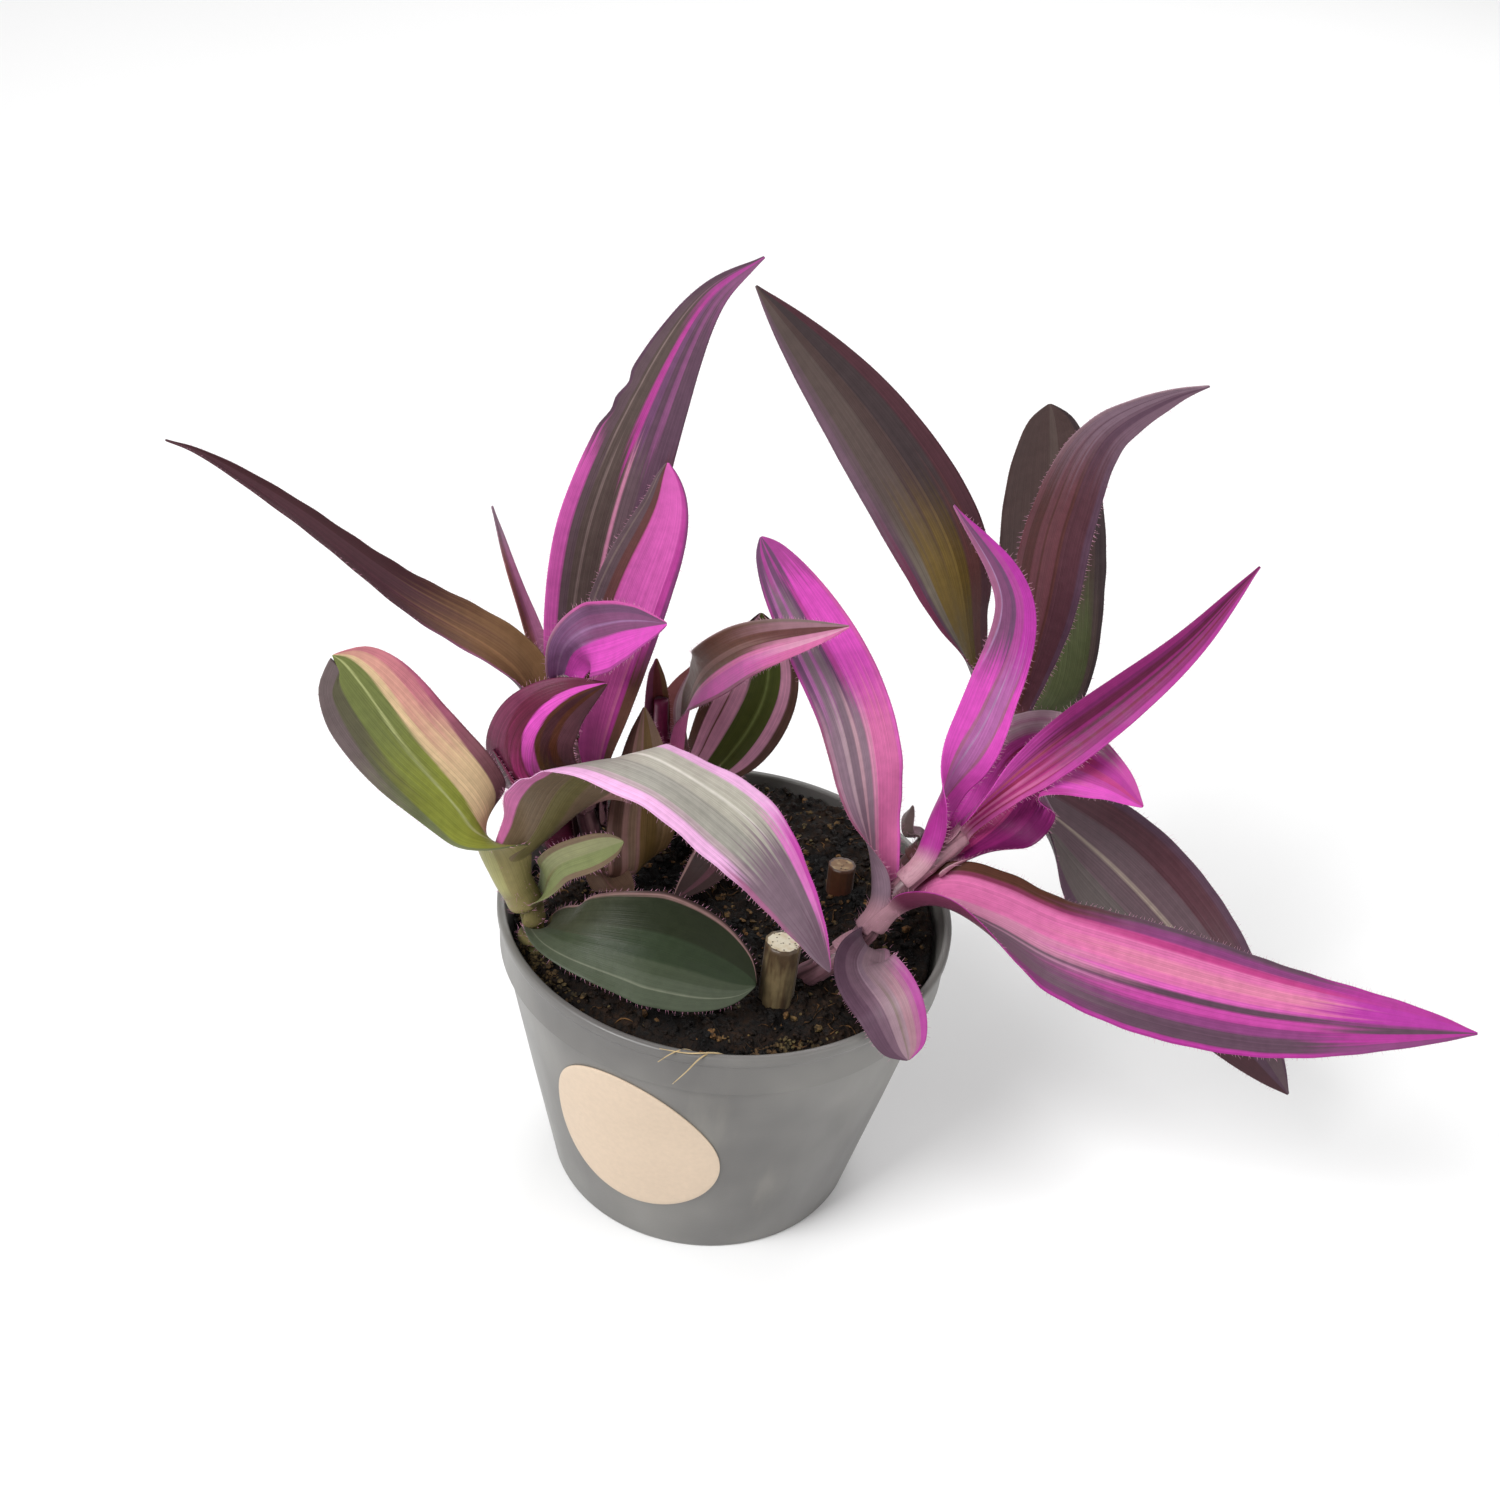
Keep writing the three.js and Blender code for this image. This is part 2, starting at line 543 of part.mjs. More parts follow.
// Pot: tapered wall, stepped collar, thin lip, flat base with drain holes round its centre
const collarFoot = potHeight - collarHeight;
const shoulder = rimRadius - collarStep - 1;
const potProfile = [
  [0, 0], [baseRadius - 1, 0], [baseRadius, 1],
  [shoulder, collarFoot], [shoulder + collarStep, collarFoot + 0.8],
  [rimRadius - 0.6, potHeight - 3], [rimRadius, potHeight - 2.4], [rimRadius, potHeight - 0.6],
  [rimRadius - 0.6, potHeight], [rimRadius - 1.8, potHeight], [rimRadius - 2.2, potHeight - 0.6],
  [shoulder + collarStep - wall, collarFoot + 2.5], [shoulder - wall, collarFoot],
  [innerRadius(floorThick), floorThick], [0, floorThick],
];
let pot = toKernel(turned(potProfile, 36));
for (let k = 0; k < drainHoles; k++) {
  const angle = (2 * Math.PI * (k + 0.5)) / drainHoles;
  const [x, y] = [drainCircle * Math.cos(angle), drainCircle * Math.sin(angle)];
  const hole = bar([[x, y, -2], [x, y, 2], [x, y, floorThick + 2]], () => drainRadius, 12, 2);
  pot = pot.subtract(toKernel(hole));
}
add('pot', fromKernel(pot.simplify(0.001)), 0x8797a0);

// Blank label: a thin rounded patch that follows the pot's wall
const labelAzimuth = -21;
const labelHeight = 43.5;
const labelRadius = 25;
const labelThick = 0.7;
function labelPatch() {
  const rings = 3;
  const segments = 24;
  const wallRadius = (z) => mix(baseRadius, shoulder, z / collarFoot);
  const points = [];
  const faces = [];
  const place = (s, h, lift) => {
    const z = labelHeight + h;
    const r = wallRadius(z) + fitGap + lift;
    const angle = THREE.MathUtils.degToRad(labelAzimuth - 90) + s / wallRadius(z);
    points.push(r * Math.cos(angle), r * Math.sin(angle), z);
  };
  for (const lift of [0, labelThick]) {
    place(0, 0, lift);
    for (let k = 1; k <= rings; k++) {
      for (let j = 0; j < segments; j++) {
        const a = (2 * Math.PI * j) / segments;
        const lobes = 1.6 * Math.cos(2 * (a + 1.31)) + 0.8 * Math.cos(3 * (a - 1.92));
        const reach = ((labelRadius + lobes) * k) / rings;
        place(reach * Math.cos(a), reach * Math.sin(a), lift);
      }
    }
  }
  const layer = 1 + rings * segments;
  const spot = (side, k, j) => side * layer + 1 + (k - 1) * segments + (j % segments);
  for (let j = 0; j < segments; j++) {
    faces.push(layer, spot(1, 1, j), spot(1, 1, j + 1), 0, spot(0, 1, j + 1), spot(0, 1, j));
    for (let k = 1; k < rings; k++) {
      const [a, b, c, d] = [spot(1, k, j), spot(1, k + 1, j), spot(1, k + 1, j + 1), spot(1, k, j + 1)];
      faces.push(a, b, c, a, c, d);
      faces.push(a - layer, c - layer, b - layer, a - layer, d - layer, c - layer);
    }
    const [e, f] = [spot(1, rings, j), spot(1, rings, j + 1)];
    faces.push(e, e - layer, f - layer, e, f - layer, f);
  }
  return solid(points, faces);
}
add('label', labelPatch(), 0xe9dccb);

export default group;
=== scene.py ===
# Potted tradescantia: striped leaves, stems, compost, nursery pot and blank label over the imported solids
import json
import math
import random

import bmesh
import bpy
from mathutils import Matrix, Vector, noise


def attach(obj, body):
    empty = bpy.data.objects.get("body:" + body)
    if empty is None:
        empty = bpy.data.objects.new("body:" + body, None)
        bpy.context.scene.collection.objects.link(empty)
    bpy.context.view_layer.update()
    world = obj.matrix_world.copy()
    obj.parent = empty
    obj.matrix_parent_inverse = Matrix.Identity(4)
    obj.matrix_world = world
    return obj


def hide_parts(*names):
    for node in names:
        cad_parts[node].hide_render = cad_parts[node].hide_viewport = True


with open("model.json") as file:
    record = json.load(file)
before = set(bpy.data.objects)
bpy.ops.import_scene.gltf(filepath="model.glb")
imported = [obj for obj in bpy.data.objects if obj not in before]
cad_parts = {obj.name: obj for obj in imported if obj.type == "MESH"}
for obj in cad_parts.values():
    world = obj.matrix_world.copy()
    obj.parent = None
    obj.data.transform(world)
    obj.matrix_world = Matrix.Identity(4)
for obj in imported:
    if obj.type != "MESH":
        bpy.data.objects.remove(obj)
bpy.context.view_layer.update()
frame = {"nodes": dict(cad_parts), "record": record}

mm = 0.001
slotOf = {part["node"]: part["material_slot"] for part in frame["record"]["subparts"]}
print("stage: frame loaded,", len(frame["nodes"]), "nodes")

# Colours as they look in soft daylight, in sRGB hex
tints = {
    "hotPink": "#de60c3", "edgePink": "#f08ed6", "edgeRose": "#d682b4", "orchidPink": "#db6ebb",
    "orchid": "#d166ac", "orchidDeep": "#b1529b", "orchidDusk": "#ad7093", "magentaBright": "#b844a5",
    "magenta": "#b4429a", "magentaRose": "#c152a2", "wineMagenta": "#8f2d72", "deepMagenta": "#762560",
    "duskMagenta": "#8f4a80", "maroon": "#621e43", "crimson": "#a63e68", "crimsonPink": "#c04c8c",
    "crimsonWine": "#80204f", "redRose": "#c0627a", "wine": "#7f3456", "wineRose": "#8a3d5d",
    "wineDark": "#6a2742", "wineMauve": "#7a3c58", "rose": "#db7cae", "softRose": "#d492b0",
    "palePink": "#e0a6c0", "paleRose": "#cba6b1", "peachPink": "#da8aa8", "peach": "#daa698",
    "rosePeach": "#cc868f", "mauveRose": "#bd6c88", "blushAndHighlight": "#f2bee6", "blushGrey": "#bfabb0",
    "dustyPink": "#b38b9f", "dullRose": "#aa848f", "dullPink": "#9c7d7a", "duskRose": "#a0647f",
    "pinkBrown": "#a06a69", "pinkTan": "#cb9fab", "tanRose": "#9b7872", "lilac": "#a078a0",
    "silverLilac": "#b48fb4", "lilacPink": "#b873ac", "mauvePurple": "#8c587f", "duskPurple": "#7a5375",
    "duskMauve": "#7c6271", "duskPlum": "#674d5e", "mauveGrey": "#99808f", "greyMauve": "#7a6c6c",
    "greyRose": "#a18791", "paleMauve": "#b99fa9", "dullMauve": "#8a7481", "plumBrown": "#8a5f66",
    "plumDark": "#5b3a42", "plumMid": "#65424b", "nightPlum": "#4f2d33", "taupeMauve": "#705c63",
    "taupe": "#665854", "taupeLine": "#8d7b78", "taupeGrey": "#6f6564", "taupeBrown": "#5b4a48",
    "taupeNight": "#4d4143", "paleTaupe": "#aa9b90", "khakiTaupe": "#7f766a", "umber": "#7a574b",
    "umberDark": "#5c3728", "umberMauve": "#744d4c", "umberNight": "#674c42", "umberRed": "#674240",
    "roseBrown": "#7b4f56", "redBrown": "#8b5150", "greyBrown": "#8a7160", "brownMauve": "#87675c",
    "clay": "#8f6f52", "clayLight": "#a58260", "tan": "#92725c", "paleTan": "#b39c82",
    "nightBrown": "#432f2e", "silver": "#bdb9ad", "ashSilver": "#a9a69d", "chalk": "#e4dfd6",
    "cream": "#e3c8a2", "lime": "#969d4a", "paleLime": "#b4b983", "oliveGreen": "#7d8550",
    "mossGrey": "#7f8562", "mossBrown": "#696650", "mossDark": "#4b4e3d", "mossMid": "#4c5542",
    "greyMoss": "#596150", "paleMoss": "#7a7f6e", "nightGreen": "#2c331f", "deepGreen": "#37432e",
    "moss": "#646b4b", "forest": "#59622e", "forestLine": "#808c55", "greenKhaki": "#6e6d57",
    "khaki": "#838a60", "khakiDark": "#766d49", "khakiLight": "#92936f", "khakiBrown": "#7c6a57",
    "oliveGold": "#7e6a3b", "oliveDark": "#6c5829", "oliveBrown": "#7a6240", "oliveNight": "#66522f",
    "stemStraw": "#aca876", "stemOlive": "#938a55", "stemTan": "#b68894", "stemDusk": "#7c5a62",
    "stemMauve": "#86666a", "stemWine": "#8c2a5c", "sheathKhaki": "#9a9064", "peat": "#130e0c",
    "bark": "#32241a", "fibre": "#77593a", "straw": "#cdb78d", "mossAndHighlight": "#6d6244",
    "stumpBark": "#5d4a35", "stumpRidge": "#8a7a5c", "stumpRed": "#5a3b28", "cutPale": "#e9e2cc",
    "cutDark": "#4a3626", "cutBrown": "#8a6a4a", "potGrey": "#908e8a", "potDark": "#767472",
    "labelCream": "#e6d2bc",
}
# from a colour as it looks to the paint that looks like it under these lights
colourTone = {"saturation": 1.03, "contrast": 1.12, "pivot": 0.6, "albedo": 0.72}


def tint(name, gain=1.0):
    code = tints[name].lstrip("#")
    parts = [int(code[k:k + 2], 16) / 255 for k in (0, 2, 4)]
    linear = [p / 12.92 if p <= 0.04045 else ((p + 0.055) / 1.055) ** 2.4 for p in parts]
    grey = sum(linear) / 3
    deep = [max(grey + (p - grey) * colourTone["saturation"], 0.0) for p in linear]
    pivot, contrast, albedo = colourTone["pivot"], colourTone["contrast"], colourTone["albedo"]
    return [min(1.0, pivot * (p / pivot) ** contrast * gain * albedo) for p in deep] + [1.0]


def mix(a, b, k):
    return a + (b - a) * k


def ease(a, b, x):
    # 0 before a, 1 after b and a smooth rise between them
    k = min(max((x - a) / (b - a), 0.0), 1.0)
    return k * k * (3 - 2 * k)


# Material helpers

def addNode(tree, kind, settings=None, **sockets):
    node = tree.nodes.new(kind)
    for key, value in (settings or {}).items():
        setattr(node, key, value)
    for key, value in sockets.items():
        node.inputs[key.replace("_", " ")].default_value = value
    return node


def newSkin(name, roughness, specular, sheen=0.0):
    skin = bpy.data.materials.new(name)
    skin.use_nodes = True
    shader = skin.node_tree.nodes["Principled BSDF"]
    shader.inputs["Roughness"].default_value = roughness
    shader.inputs["Specular IOR Level"].default_value = specular
    shader.inputs["Sheen Weight"].default_value = sheen
    shader.inputs["Sheen Roughness"].default_value = 0.4
    return skin, skin.node_tree, shader


def readCoords(tree, source="Object"):
    return addNode(tree, "ShaderNodeTexCoord").outputs[source]


def feed(tree, shader, **sockets):
    for key, value in sockets.items():
        tree.links.new(value, shader.inputs[key.replace("_", " ")])


def calc(tree, operation, a, b=None, c=None):
    node = addNode(tree, "ShaderNodeMath", {"operation": operation})
    for socket, value in zip(node.inputs, (a, b, c)):
        if isinstance(value, (int, float)):
            socket.default_value = value
        elif value is not None:
            tree.links.new(value, socket)
    return node.outputs[0]


def stretchRange(tree, value, low, high, newLow, newHigh, smooth=False):
    node = addNode(tree, "ShaderNodeMapRange", From_Min=low, From_Max=high, To_Min=newLow, To_Max=newHigh)
    if smooth:
        node.interpolation_type = "SMOOTHSTEP"
    tree.links.new(value, node.inputs["Value"])
    return node.outputs["Result"]


def blendColours(tree, factor, a, b, how="MIX"):
    node = addNode(tree, "ShaderNodeMix", {"data_type": "RGBA", "blend_type": how})
    for socket, value in ((node.inputs[0], factor), (node.inputs[6], a), (node.inputs[7], b)):
        if isinstance(value, (int, float, list)):
            socket.default_value = value
        else:
            tree.links.new(value, socket)
    return node.outputs[2]


def grain(tree, source, scale, detail=3.0, spread=(1, 1, 1)):
    # noise on a stretched copy of the coordinates
    place = addNode(tree, "ShaderNodeMapping", Scale=spread)
    tree.links.new(source, place.inputs["Vector"])
    node = addNode(tree, "ShaderNodeTexNoise", Scale=scale, Detail=detail)
    tree.links.new(place.outputs[0], node.inputs["Vector"])
    return node.outputs[0]


def stripeRamp(tree, value, stripes, soft=0.012):
    # stripes: where each one starts across the leaf, and its colour
    node = addNode(tree, "ShaderNodeValToRGB")
    band = node.color_ramp
    band.elements[0].position = 0.0
    band.elements[0].color = tint(stripes[0][1])
    band.elements.remove(band.elements[1])
    for before, (start, name) in zip(stripes, stripes[1:]):
        band.elements.new(max(start - soft, 0.0)).color = tint(before[1])
        band.elements.new(min(start + soft, 1.0)).color = tint(name)
    tree.links.new(value, node.inputs[0])
    return node.outputs[0]


def addBump(tree, shader, height, strength, distance):
    bump = addNode(tree, "ShaderNodeBump", Strength=strength, Distance=distance)
    tree.links.new(height, bump.inputs["Height"])
    tree.links.new(bump.outputs[0], shader.inputs["Normal"])


# streaks, wander and veins: how often each repeats across and along the blade
leafFinish = {"roughness": 0.46, "specular": 0.18, "sheen": 0.02, "gloss": (0.36, 0.5),
              "streaks": (26, 1.4, 1), "wander": (2.0, 3.0, 1), "veins": (95, 1.0, 1), "mottle": 420.0,
              "streakShift": 0.06, "wanderShift": 0.04, "raggedFade": 0.3, "sheathFade": 0.05,
              "mottleShade": (0.92, 1.08), "bump": 0.35, "bumpDepth": 0.0003}


def leafSkin(name, bands, start, sheath, veins, drift):
    # bands: stripe rows from foot to tip, each with the length over which it gives way to the next
    # U runs across the blade and V along it; drift moves the stripes over towards the tip
    look = leafFinish
    skin, tree, shader = newSkin(name, look["roughness"], look["specular"], look["sheen"])
    place, sheet = readCoords(tree), readCoords(tree, "UV")
    split = addNode(tree, "ShaderNodeSeparateXYZ")
    tree.links.new(sheet, split.inputs[0])
    across, along = split.outputs[0], split.outputs[1]
    streaks = grain(tree, sheet, 1.0, 3.0, look["streaks"])
    wander = grain(tree, sheet, 1.0, 1.0, look["wander"])
    # the noises average a half, so half of each shift is taken off again
    halfShift = (look["streakShift"] + look["wanderShift"]) / 2
    placed = calc(tree, "MULTIPLY_ADD", along, -drift, calc(tree, "ADD", across, drift / 2 - halfShift))
    placed = calc(tree, "MULTIPLY_ADD", streaks, look["streakShift"], placed)
    placed = calc(tree, "MULTIPLY_ADD", wander, look["wanderShift"], placed)
    ragged = look["raggedFade"]
    edge = calc(tree, "MULTIPLY_ADD", streaks, ragged, calc(tree, "ADD", along, -ragged / 2))
    colour = stripeRamp(tree, placed, bands[0][0])
    for (_, fade), (stripes, _) in zip(bands, bands[1:]):
        turn = stretchRange(tree, edge, fade[0], fade[1], 0.0, 1.0, True)
        colour = blendColours(tree, turn, colour, stripeRamp(tree, placed, stripes))
    clasp = stretchRange(tree, along, start, start + look["sheathFade"], 1.0, 0.0, True)
    colour = blendColours(tree, clasp, colour, tint(sheath))
    fine = grain(tree, sheet, 1.0, 2.0, look["veins"])
    mottle = grain(tree, place, look["mottle"], 4.0)
    lines = stretchRange(tree, fine, 0.3, 0.7, 1.0 - veins, 1.0 + veins)
    dots = stretchRange(tree, mottle, 0.3, 0.7, *look["mottleShade"])
    colour = blendColours(tree, 1.0, colour, calc(tree, "MULTIPLY", lines, dots), "MULTIPLY")
    feed(tree, shader, Base_Color=colour, Roughness=stretchRange(tree, mottle, 0.3, 0.7, *look["gloss"]))
    addBump(tree, shader, calc(tree, "MULTIPLY_ADD", fine, 0.7, mottle), look["bump"], look["bumpDepth"])
    return skin


hairFinish = {"roughness": 0.5, "specular": 0.3, "sheen": 0.3, "patches": 200.0, "dark": 0.8, "light": 1.2}


def hairSkin(name, colour):
    # for the hairs and the thin roots
    look = hairFinish
    skin, tree, shader = newSkin(name, look["roughness"], look["specular"], look["sheen"])
    patch = stretchRange(tree, grain(tree, readCoords(tree), look["patches"]), 0.35, 0.65, 0, 1)
    feed(tree, shader,
         Base_Color=blendColours(tree, patch, tint(colour, look["dark"]), tint(colour, look["light"])))
    return skin


# Mesh helpers

def finishPiece(name, bm, skins, smooth=True):
    mesh = bpy.data.meshes.new(name)
    bm.to_mesh(mesh)
    bm.free()
    for skin in skins:
        mesh.materials.append(skin)
    mesh.polygons.foreach_set("use_smooth", [smooth] * len(mesh.polygons))
    piece = bpy.data.objects.new(name, mesh)
    bpy.context.scene.collection.objects.link(piece)
    return piece


def rideRoot(piece, slotName, *nodes):
    # every piece belongs to the one body; nodes are the solids that it is drawn in place of
    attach(piece, "root")
    if nodes:
        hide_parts(*nodes)
    return piece


def bakeModifiers(piece):
    graph = bpy.context.evaluated_depsgraph_get()
    shaped = bpy.data.meshes.new_from_object(piece.evaluated_get(graph))
    old = piece.data
    piece.modifiers.clear()
    piece.data = shaped
    shaped.name = old.name
    bpy.data.meshes.remove(old)


def curveSpot(points, k):
    # spot on a centripetal spline through the points, k from 0 to 1
    last = len(points) - 1
    reach = k * last
    i = min(int(reach), last - 1)
    w = reach - i
    p1, p2 = points[i], points[i + 1]
    p0 = points[i - 1] if i > 0 else 2 * p1 - p2
    p3 = points[i + 2] if i + 2 <= last else 2 * p2 - p1
    gaps = [max((b - a).length ** 0.5, 1e-4) for a, b in ((p0, p1), (p1, p2), (p2, p3))]
    d0, d1, d2 = gaps
    slope1 = ((p1 - p0) / d0 - (p2 - p0) / (d0 + d1) + (p2 - p1) / d1) * d1
    slope2 = ((p2 - p1) / d1 - (p3 - p1) / (d1 + d2) + (p3 - p2) / d2) * d1
    bend2 = -3 * p1 + 3 * p2 - 2 * slope1 - slope2
    bend3 = 2 * p1 - 2 * p2 + slope1 + slope2
    return p1 + slope1 * w + bend2 * w * w + bend3 * w * w * w


def evenPath(points, count):
    # the spline's spots at even steps of length, with the directions there and the whole length
    dense = 400
    run = [curveSpot(points, k / dense) for k in range(dense + 1)]
    reach = [0.0]
    for a, b in zip(run, run[1:]):
        reach.append(reach[-1] + (b - a).length)
    spots = []
    j = 0
    for i in range(count + 1):
        goal = reach[-1] * i / count
        while j < dense - 1 and reach[j + 1] < goal:
            j += 1
        part = (goal - reach[j]) / (reach[j + 1] - reach[j])
        spots.append(curveSpot(points, (j + part) / dense))
    along = []
    for i in range(count + 1):
        along.append((spots[min(i + 1, count)] - spots[max(i - 1, 0)]).normalized())
    return spots, along, reach[-1]


def squared(v, axis):
    # the part of v that is square to the axis
    return (v - axis * v.dot(axis)).normalized()


def addHair(bm, root, direction, length, radius):
    turn = direction.to_track_quat("Z", "Y").to_matrix().to_4x4()
    place = Matrix.Translation((root + direction * length * 0.48) * mm) @ turn
    bmesh.ops.create_cone(bm, cap_ends=False, segments=3, radius1=radius * mm, radius2=radius * 0.15 * mm,
                          depth=length * mm, matrix=place)


# Camera, floor and light

view = {"spot": (2, -448, 456), "tilt": 35.5, "roll": 6.2, "lens": 52.7}
cameraData = bpy.data.cameras.new("camera")
cameraData.lens = view["lens"]
cameraData.sensor_width = 36
camera = bpy.data.objects.new("camera", cameraData)
turnX = Matrix.Rotation(math.radians(90 - view["tilt"]), 4, "X")
turnZ = Matrix.Rotation(math.radians(view["roll"]), 4, "Z")
camera.matrix_world = Matrix.Translation(Vector(view["spot"]) * mm) @ turnX @ turnZ
bpy.context.scene.collection.objects.link(camera)
bpy.context.scene.camera = camera
bpy.context.scene.view_settings.view_transform = "Standard"

studio = {"floorSize": 8.0, "floorTone": 0.86, "floorCloud": 0.01, "worldTone": 0.95, "worldPower": 0.5,
          "aim": (0.02, 0, 0.11)}


def floorSkin():
    skin, tree, shader = newSkin("floor_paint", 0.9, 0.1)
    tone, cloud = studio["floorTone"], studio["floorCloud"]
    patch = grain(tree, readCoords(tree), 3.0, 2.0)
    feed(tree, shader, Base_Color=stretchRange(tree, patch, 0.3, 0.7, tone - cloud, tone + cloud))
    return skin


bm = bmesh.new()
bmesh.ops.create_grid(bm, x_segments=2, y_segments=2, size=studio["floorSize"] / 2)
floor = finishPiece("studio_floor", bm, [floorSkin()], False)

world = bpy.data.worlds.new("studio")
world.use_nodes = True
sky = world.node_tree.nodes["Background"]
sky.inputs["Color"].default_value = [studio["worldTone"]] * 3 + [1]
sky.inputs["Strength"].default_value = studio["worldPower"]
bpy.context.scene.world = world

# each light: place in metres, size, power; all of them look at the plant
lamps = {
    "key_light": {"spot": (-0.75, -0.75, 1.25), "size": 0.7, "power": 24},
    "fill_light": {"spot": (1.1, -0.6, 0.8), "size": 1.2, "power": 6},
    "back_light": {"spot": (0.3, 1.1, 1.1), "size": 1.0, "power": 9},
}
for lampName, lamp in lamps.items():
    lampData = bpy.data.lights.new(lampName, "AREA")
    lampData.size = lamp["size"]
    lampData.energy = lamp["power"]
    lampObject = bpy.data.objects.new(lampName, lampData)
    aim = Vector(studio["aim"]) - Vector(lamp["spot"])
    turned = aim.to_track_quat("-Z", "Y").to_matrix().to_4x4()
    lampObject.matrix_world = Matrix.Translation(lamp["spot"]) @ turned
    bpy.context.scene.collection.objects.link(lampObject)
print("stage: camera, floor and light")

# Stems in millimetres: they run through these points, with the radius at the foot and at the top
# joints: how far up the stem each swelling is; sheath: colour of the leaf sheaths on it

stems = {
    "left": {
        "radius": (2.9, 2.3), "skin": "stemStraw", "streak": "stemOlive", "sheath": "sheathKhaki",
        "joints": (18, 23, 29, 36),
        "points": [(-46, -17, 64), (-49, -16, 87), (-53, -16, 98), (-56, -17, 111)],
    },
    "middle": {
        "radius": (3.2, 2.0), "skin": "stemMauve", "streak": "plumMid", "sheath": "stemMauve",
        "joints": (19, 23, 29, 34, 41, 46, 66, 72),
        "points": [(-32, 17, 64), (-37, 8, 98), (-42, 6, 118), (-45, 4, 135), (-46, 2, 150)],
    },
    "back": {
        "radius": (2.6, 1.9), "skin": "stemWine", "streak": "wineRose", "sheath": "crimsonWine",
        "joints": (19, 22, 29, 36, 44),
        "points": [(-8, 42, 64), (-17, 37, 98), (-22, 36, 112), (-23, 36, 124)],
    },
    "right": {
        "radius": (3.6, 2.2), "skin": "stemTan", "streak": "stemDusk", "sheath": "pinkTan",
        "joints": (14, 24, 33, 49, 57, 63),
        "points": [(14, -15, 70), (26, -17, 82), (36, -13, 91), (43, -9, 103), (51, -4, 110), (59, 2, 115)],
    },
    "rear": {
        "radius": (3.2, 2.2), "skin": "umberRed", "streak": "plumMid", "sheath": "umberMauve",
        "joints": (27, 42, 54, 61, 68),
        "points": [(43, 22, 64), (47, 22, 86), (54, 24, 95), (62, 32, 107), (72, 44, 126)],
    },
}


stemForm = {"sides": 24, "rows": 60, "jointSwell": 0.06, "jointReach": 1.1, "ribs": 7, "ribDepth": 0.02}
stemFinish = {"roughness": 0.4, "specular": 0.45, "sheen": 0.15, "lines": (14, 2.5, 1), "mottle": 500.0,
              "mottleShade": (0.85, 1.12), "bump": 0.4, "bumpDepth": 0.0003}


def stemSkin(name, colour, streak):
    look = stemFinish
    skin, tree, shader = newSkin(name, look["roughness"], look["specular"], look["sheen"])
    lines = grain(tree, readCoords(tree, "UV"), 1.0, 3.0, look["lines"])
    mottle = grain(tree, readCoords(tree), look["mottle"], 4.0)
    base = blendColours(tree, stretchRange(tree, lines, 0.42, 0.62, 0, 1), tint(colour), tint(streak))
    shade = stretchRange(tree, mottle, 0.3, 0.7, *look["mottleShade"])
    feed(tree, shader, Base_Color=blendColours(tree, 1.0, base, shade, "MULTIPLY"))
    addBump(tree, shader, calc(tree, "ADD", lines, mottle), look["bump"], look["bumpDepth"])
    return skin


def tube(bm, points, radiusAt, sides, rows):
    # a grid rolled round the path and closed at both ends
    spots, along, length = evenPath([Vector(p) for p in points], rows)
    across = [squared(Vector((1, 0, 0)), along[0])]
    for i in range(1, rows + 1):
        across.append(squared(across[-1], along[i]))
    if not bm.loops.layers.uv:
        bm.loops.layers.uv.new("UVMap")
    made = bmesh.ops.create_grid(bm, x_segments=sides, y_segments=rows, size=1.0, calc_uvs=True)
    for v in made["verts"]:
        turn = (v.co.x + 1) * math.pi
        i = round((v.co.y + 1) / 2 * rows)
        r = radiusAt(i / rows, turn, length)
        other = along[i].cross(across[i])
        v.co = (spots[i] + across[i] * r * math.cos(turn) + other * r * math.sin(turn)) * mm
    bmesh.ops.remove_doubles(bm, verts=made["verts"], dist=1e-6)
    ends = [e for e in bm.edges if e.is_boundary]
    bmesh.ops.holes_fill(bm, edges=ends, sides=sides + 2)
    bmesh.ops.recalc_face_normals(bm, faces=bm.faces[:])


def growStem(name, stem):
    lowRadius, highRadius = stem["radius"]

    def radiusAt(k, turn, length):
        r = mix(lowRadius, highRadius, k)
        for joint in stem["joints"]:
            near = math.exp(-((k * length - joint) / stemForm["jointReach"]) ** 2)
            r *= 1 + stemForm["jointSwell"] * near
        return r * (1 + stemForm["ribDepth"] * math.cos(stemForm["ribs"] * turn + 3 * k))

    bm = bmesh.new()
    tube(bm, stem["points"], radiusAt, stemForm["sides"], stemForm["rows"])
    skin = stemSkin(name + "_stem_skin", stem["skin"], stem["streak"])
    rideRoot(finishPiece(name + "_stem_bark", bm, [skin]), slotOf[name + "_stem"], name + "_stem")


for stemName, stem in stems.items():
    growStem(stemName, stem)
print("stage: stems")

# Leaves in millimetres
# at: how far up its stem the sheath starts; out: the side it leaves on; wrap: sheaths under its own
# through: midrib after the sheath; face: where the upper side looks, from foot to tip
# cup, cupTip: half angle of the trough in degrees, below 0 where the leaf arches the other way
# broad: the part of the length where it is widest; neck, swell: how it opens up to there
# belly, blunt: how it narrows to the tip; nicks: edge, part of the length, depth
# foot, tip, end, under, underTip: stripes, where each starts across the blade and its colour
# fade, endFade, underFade: the part of the length over which one row of stripes gives way to the next

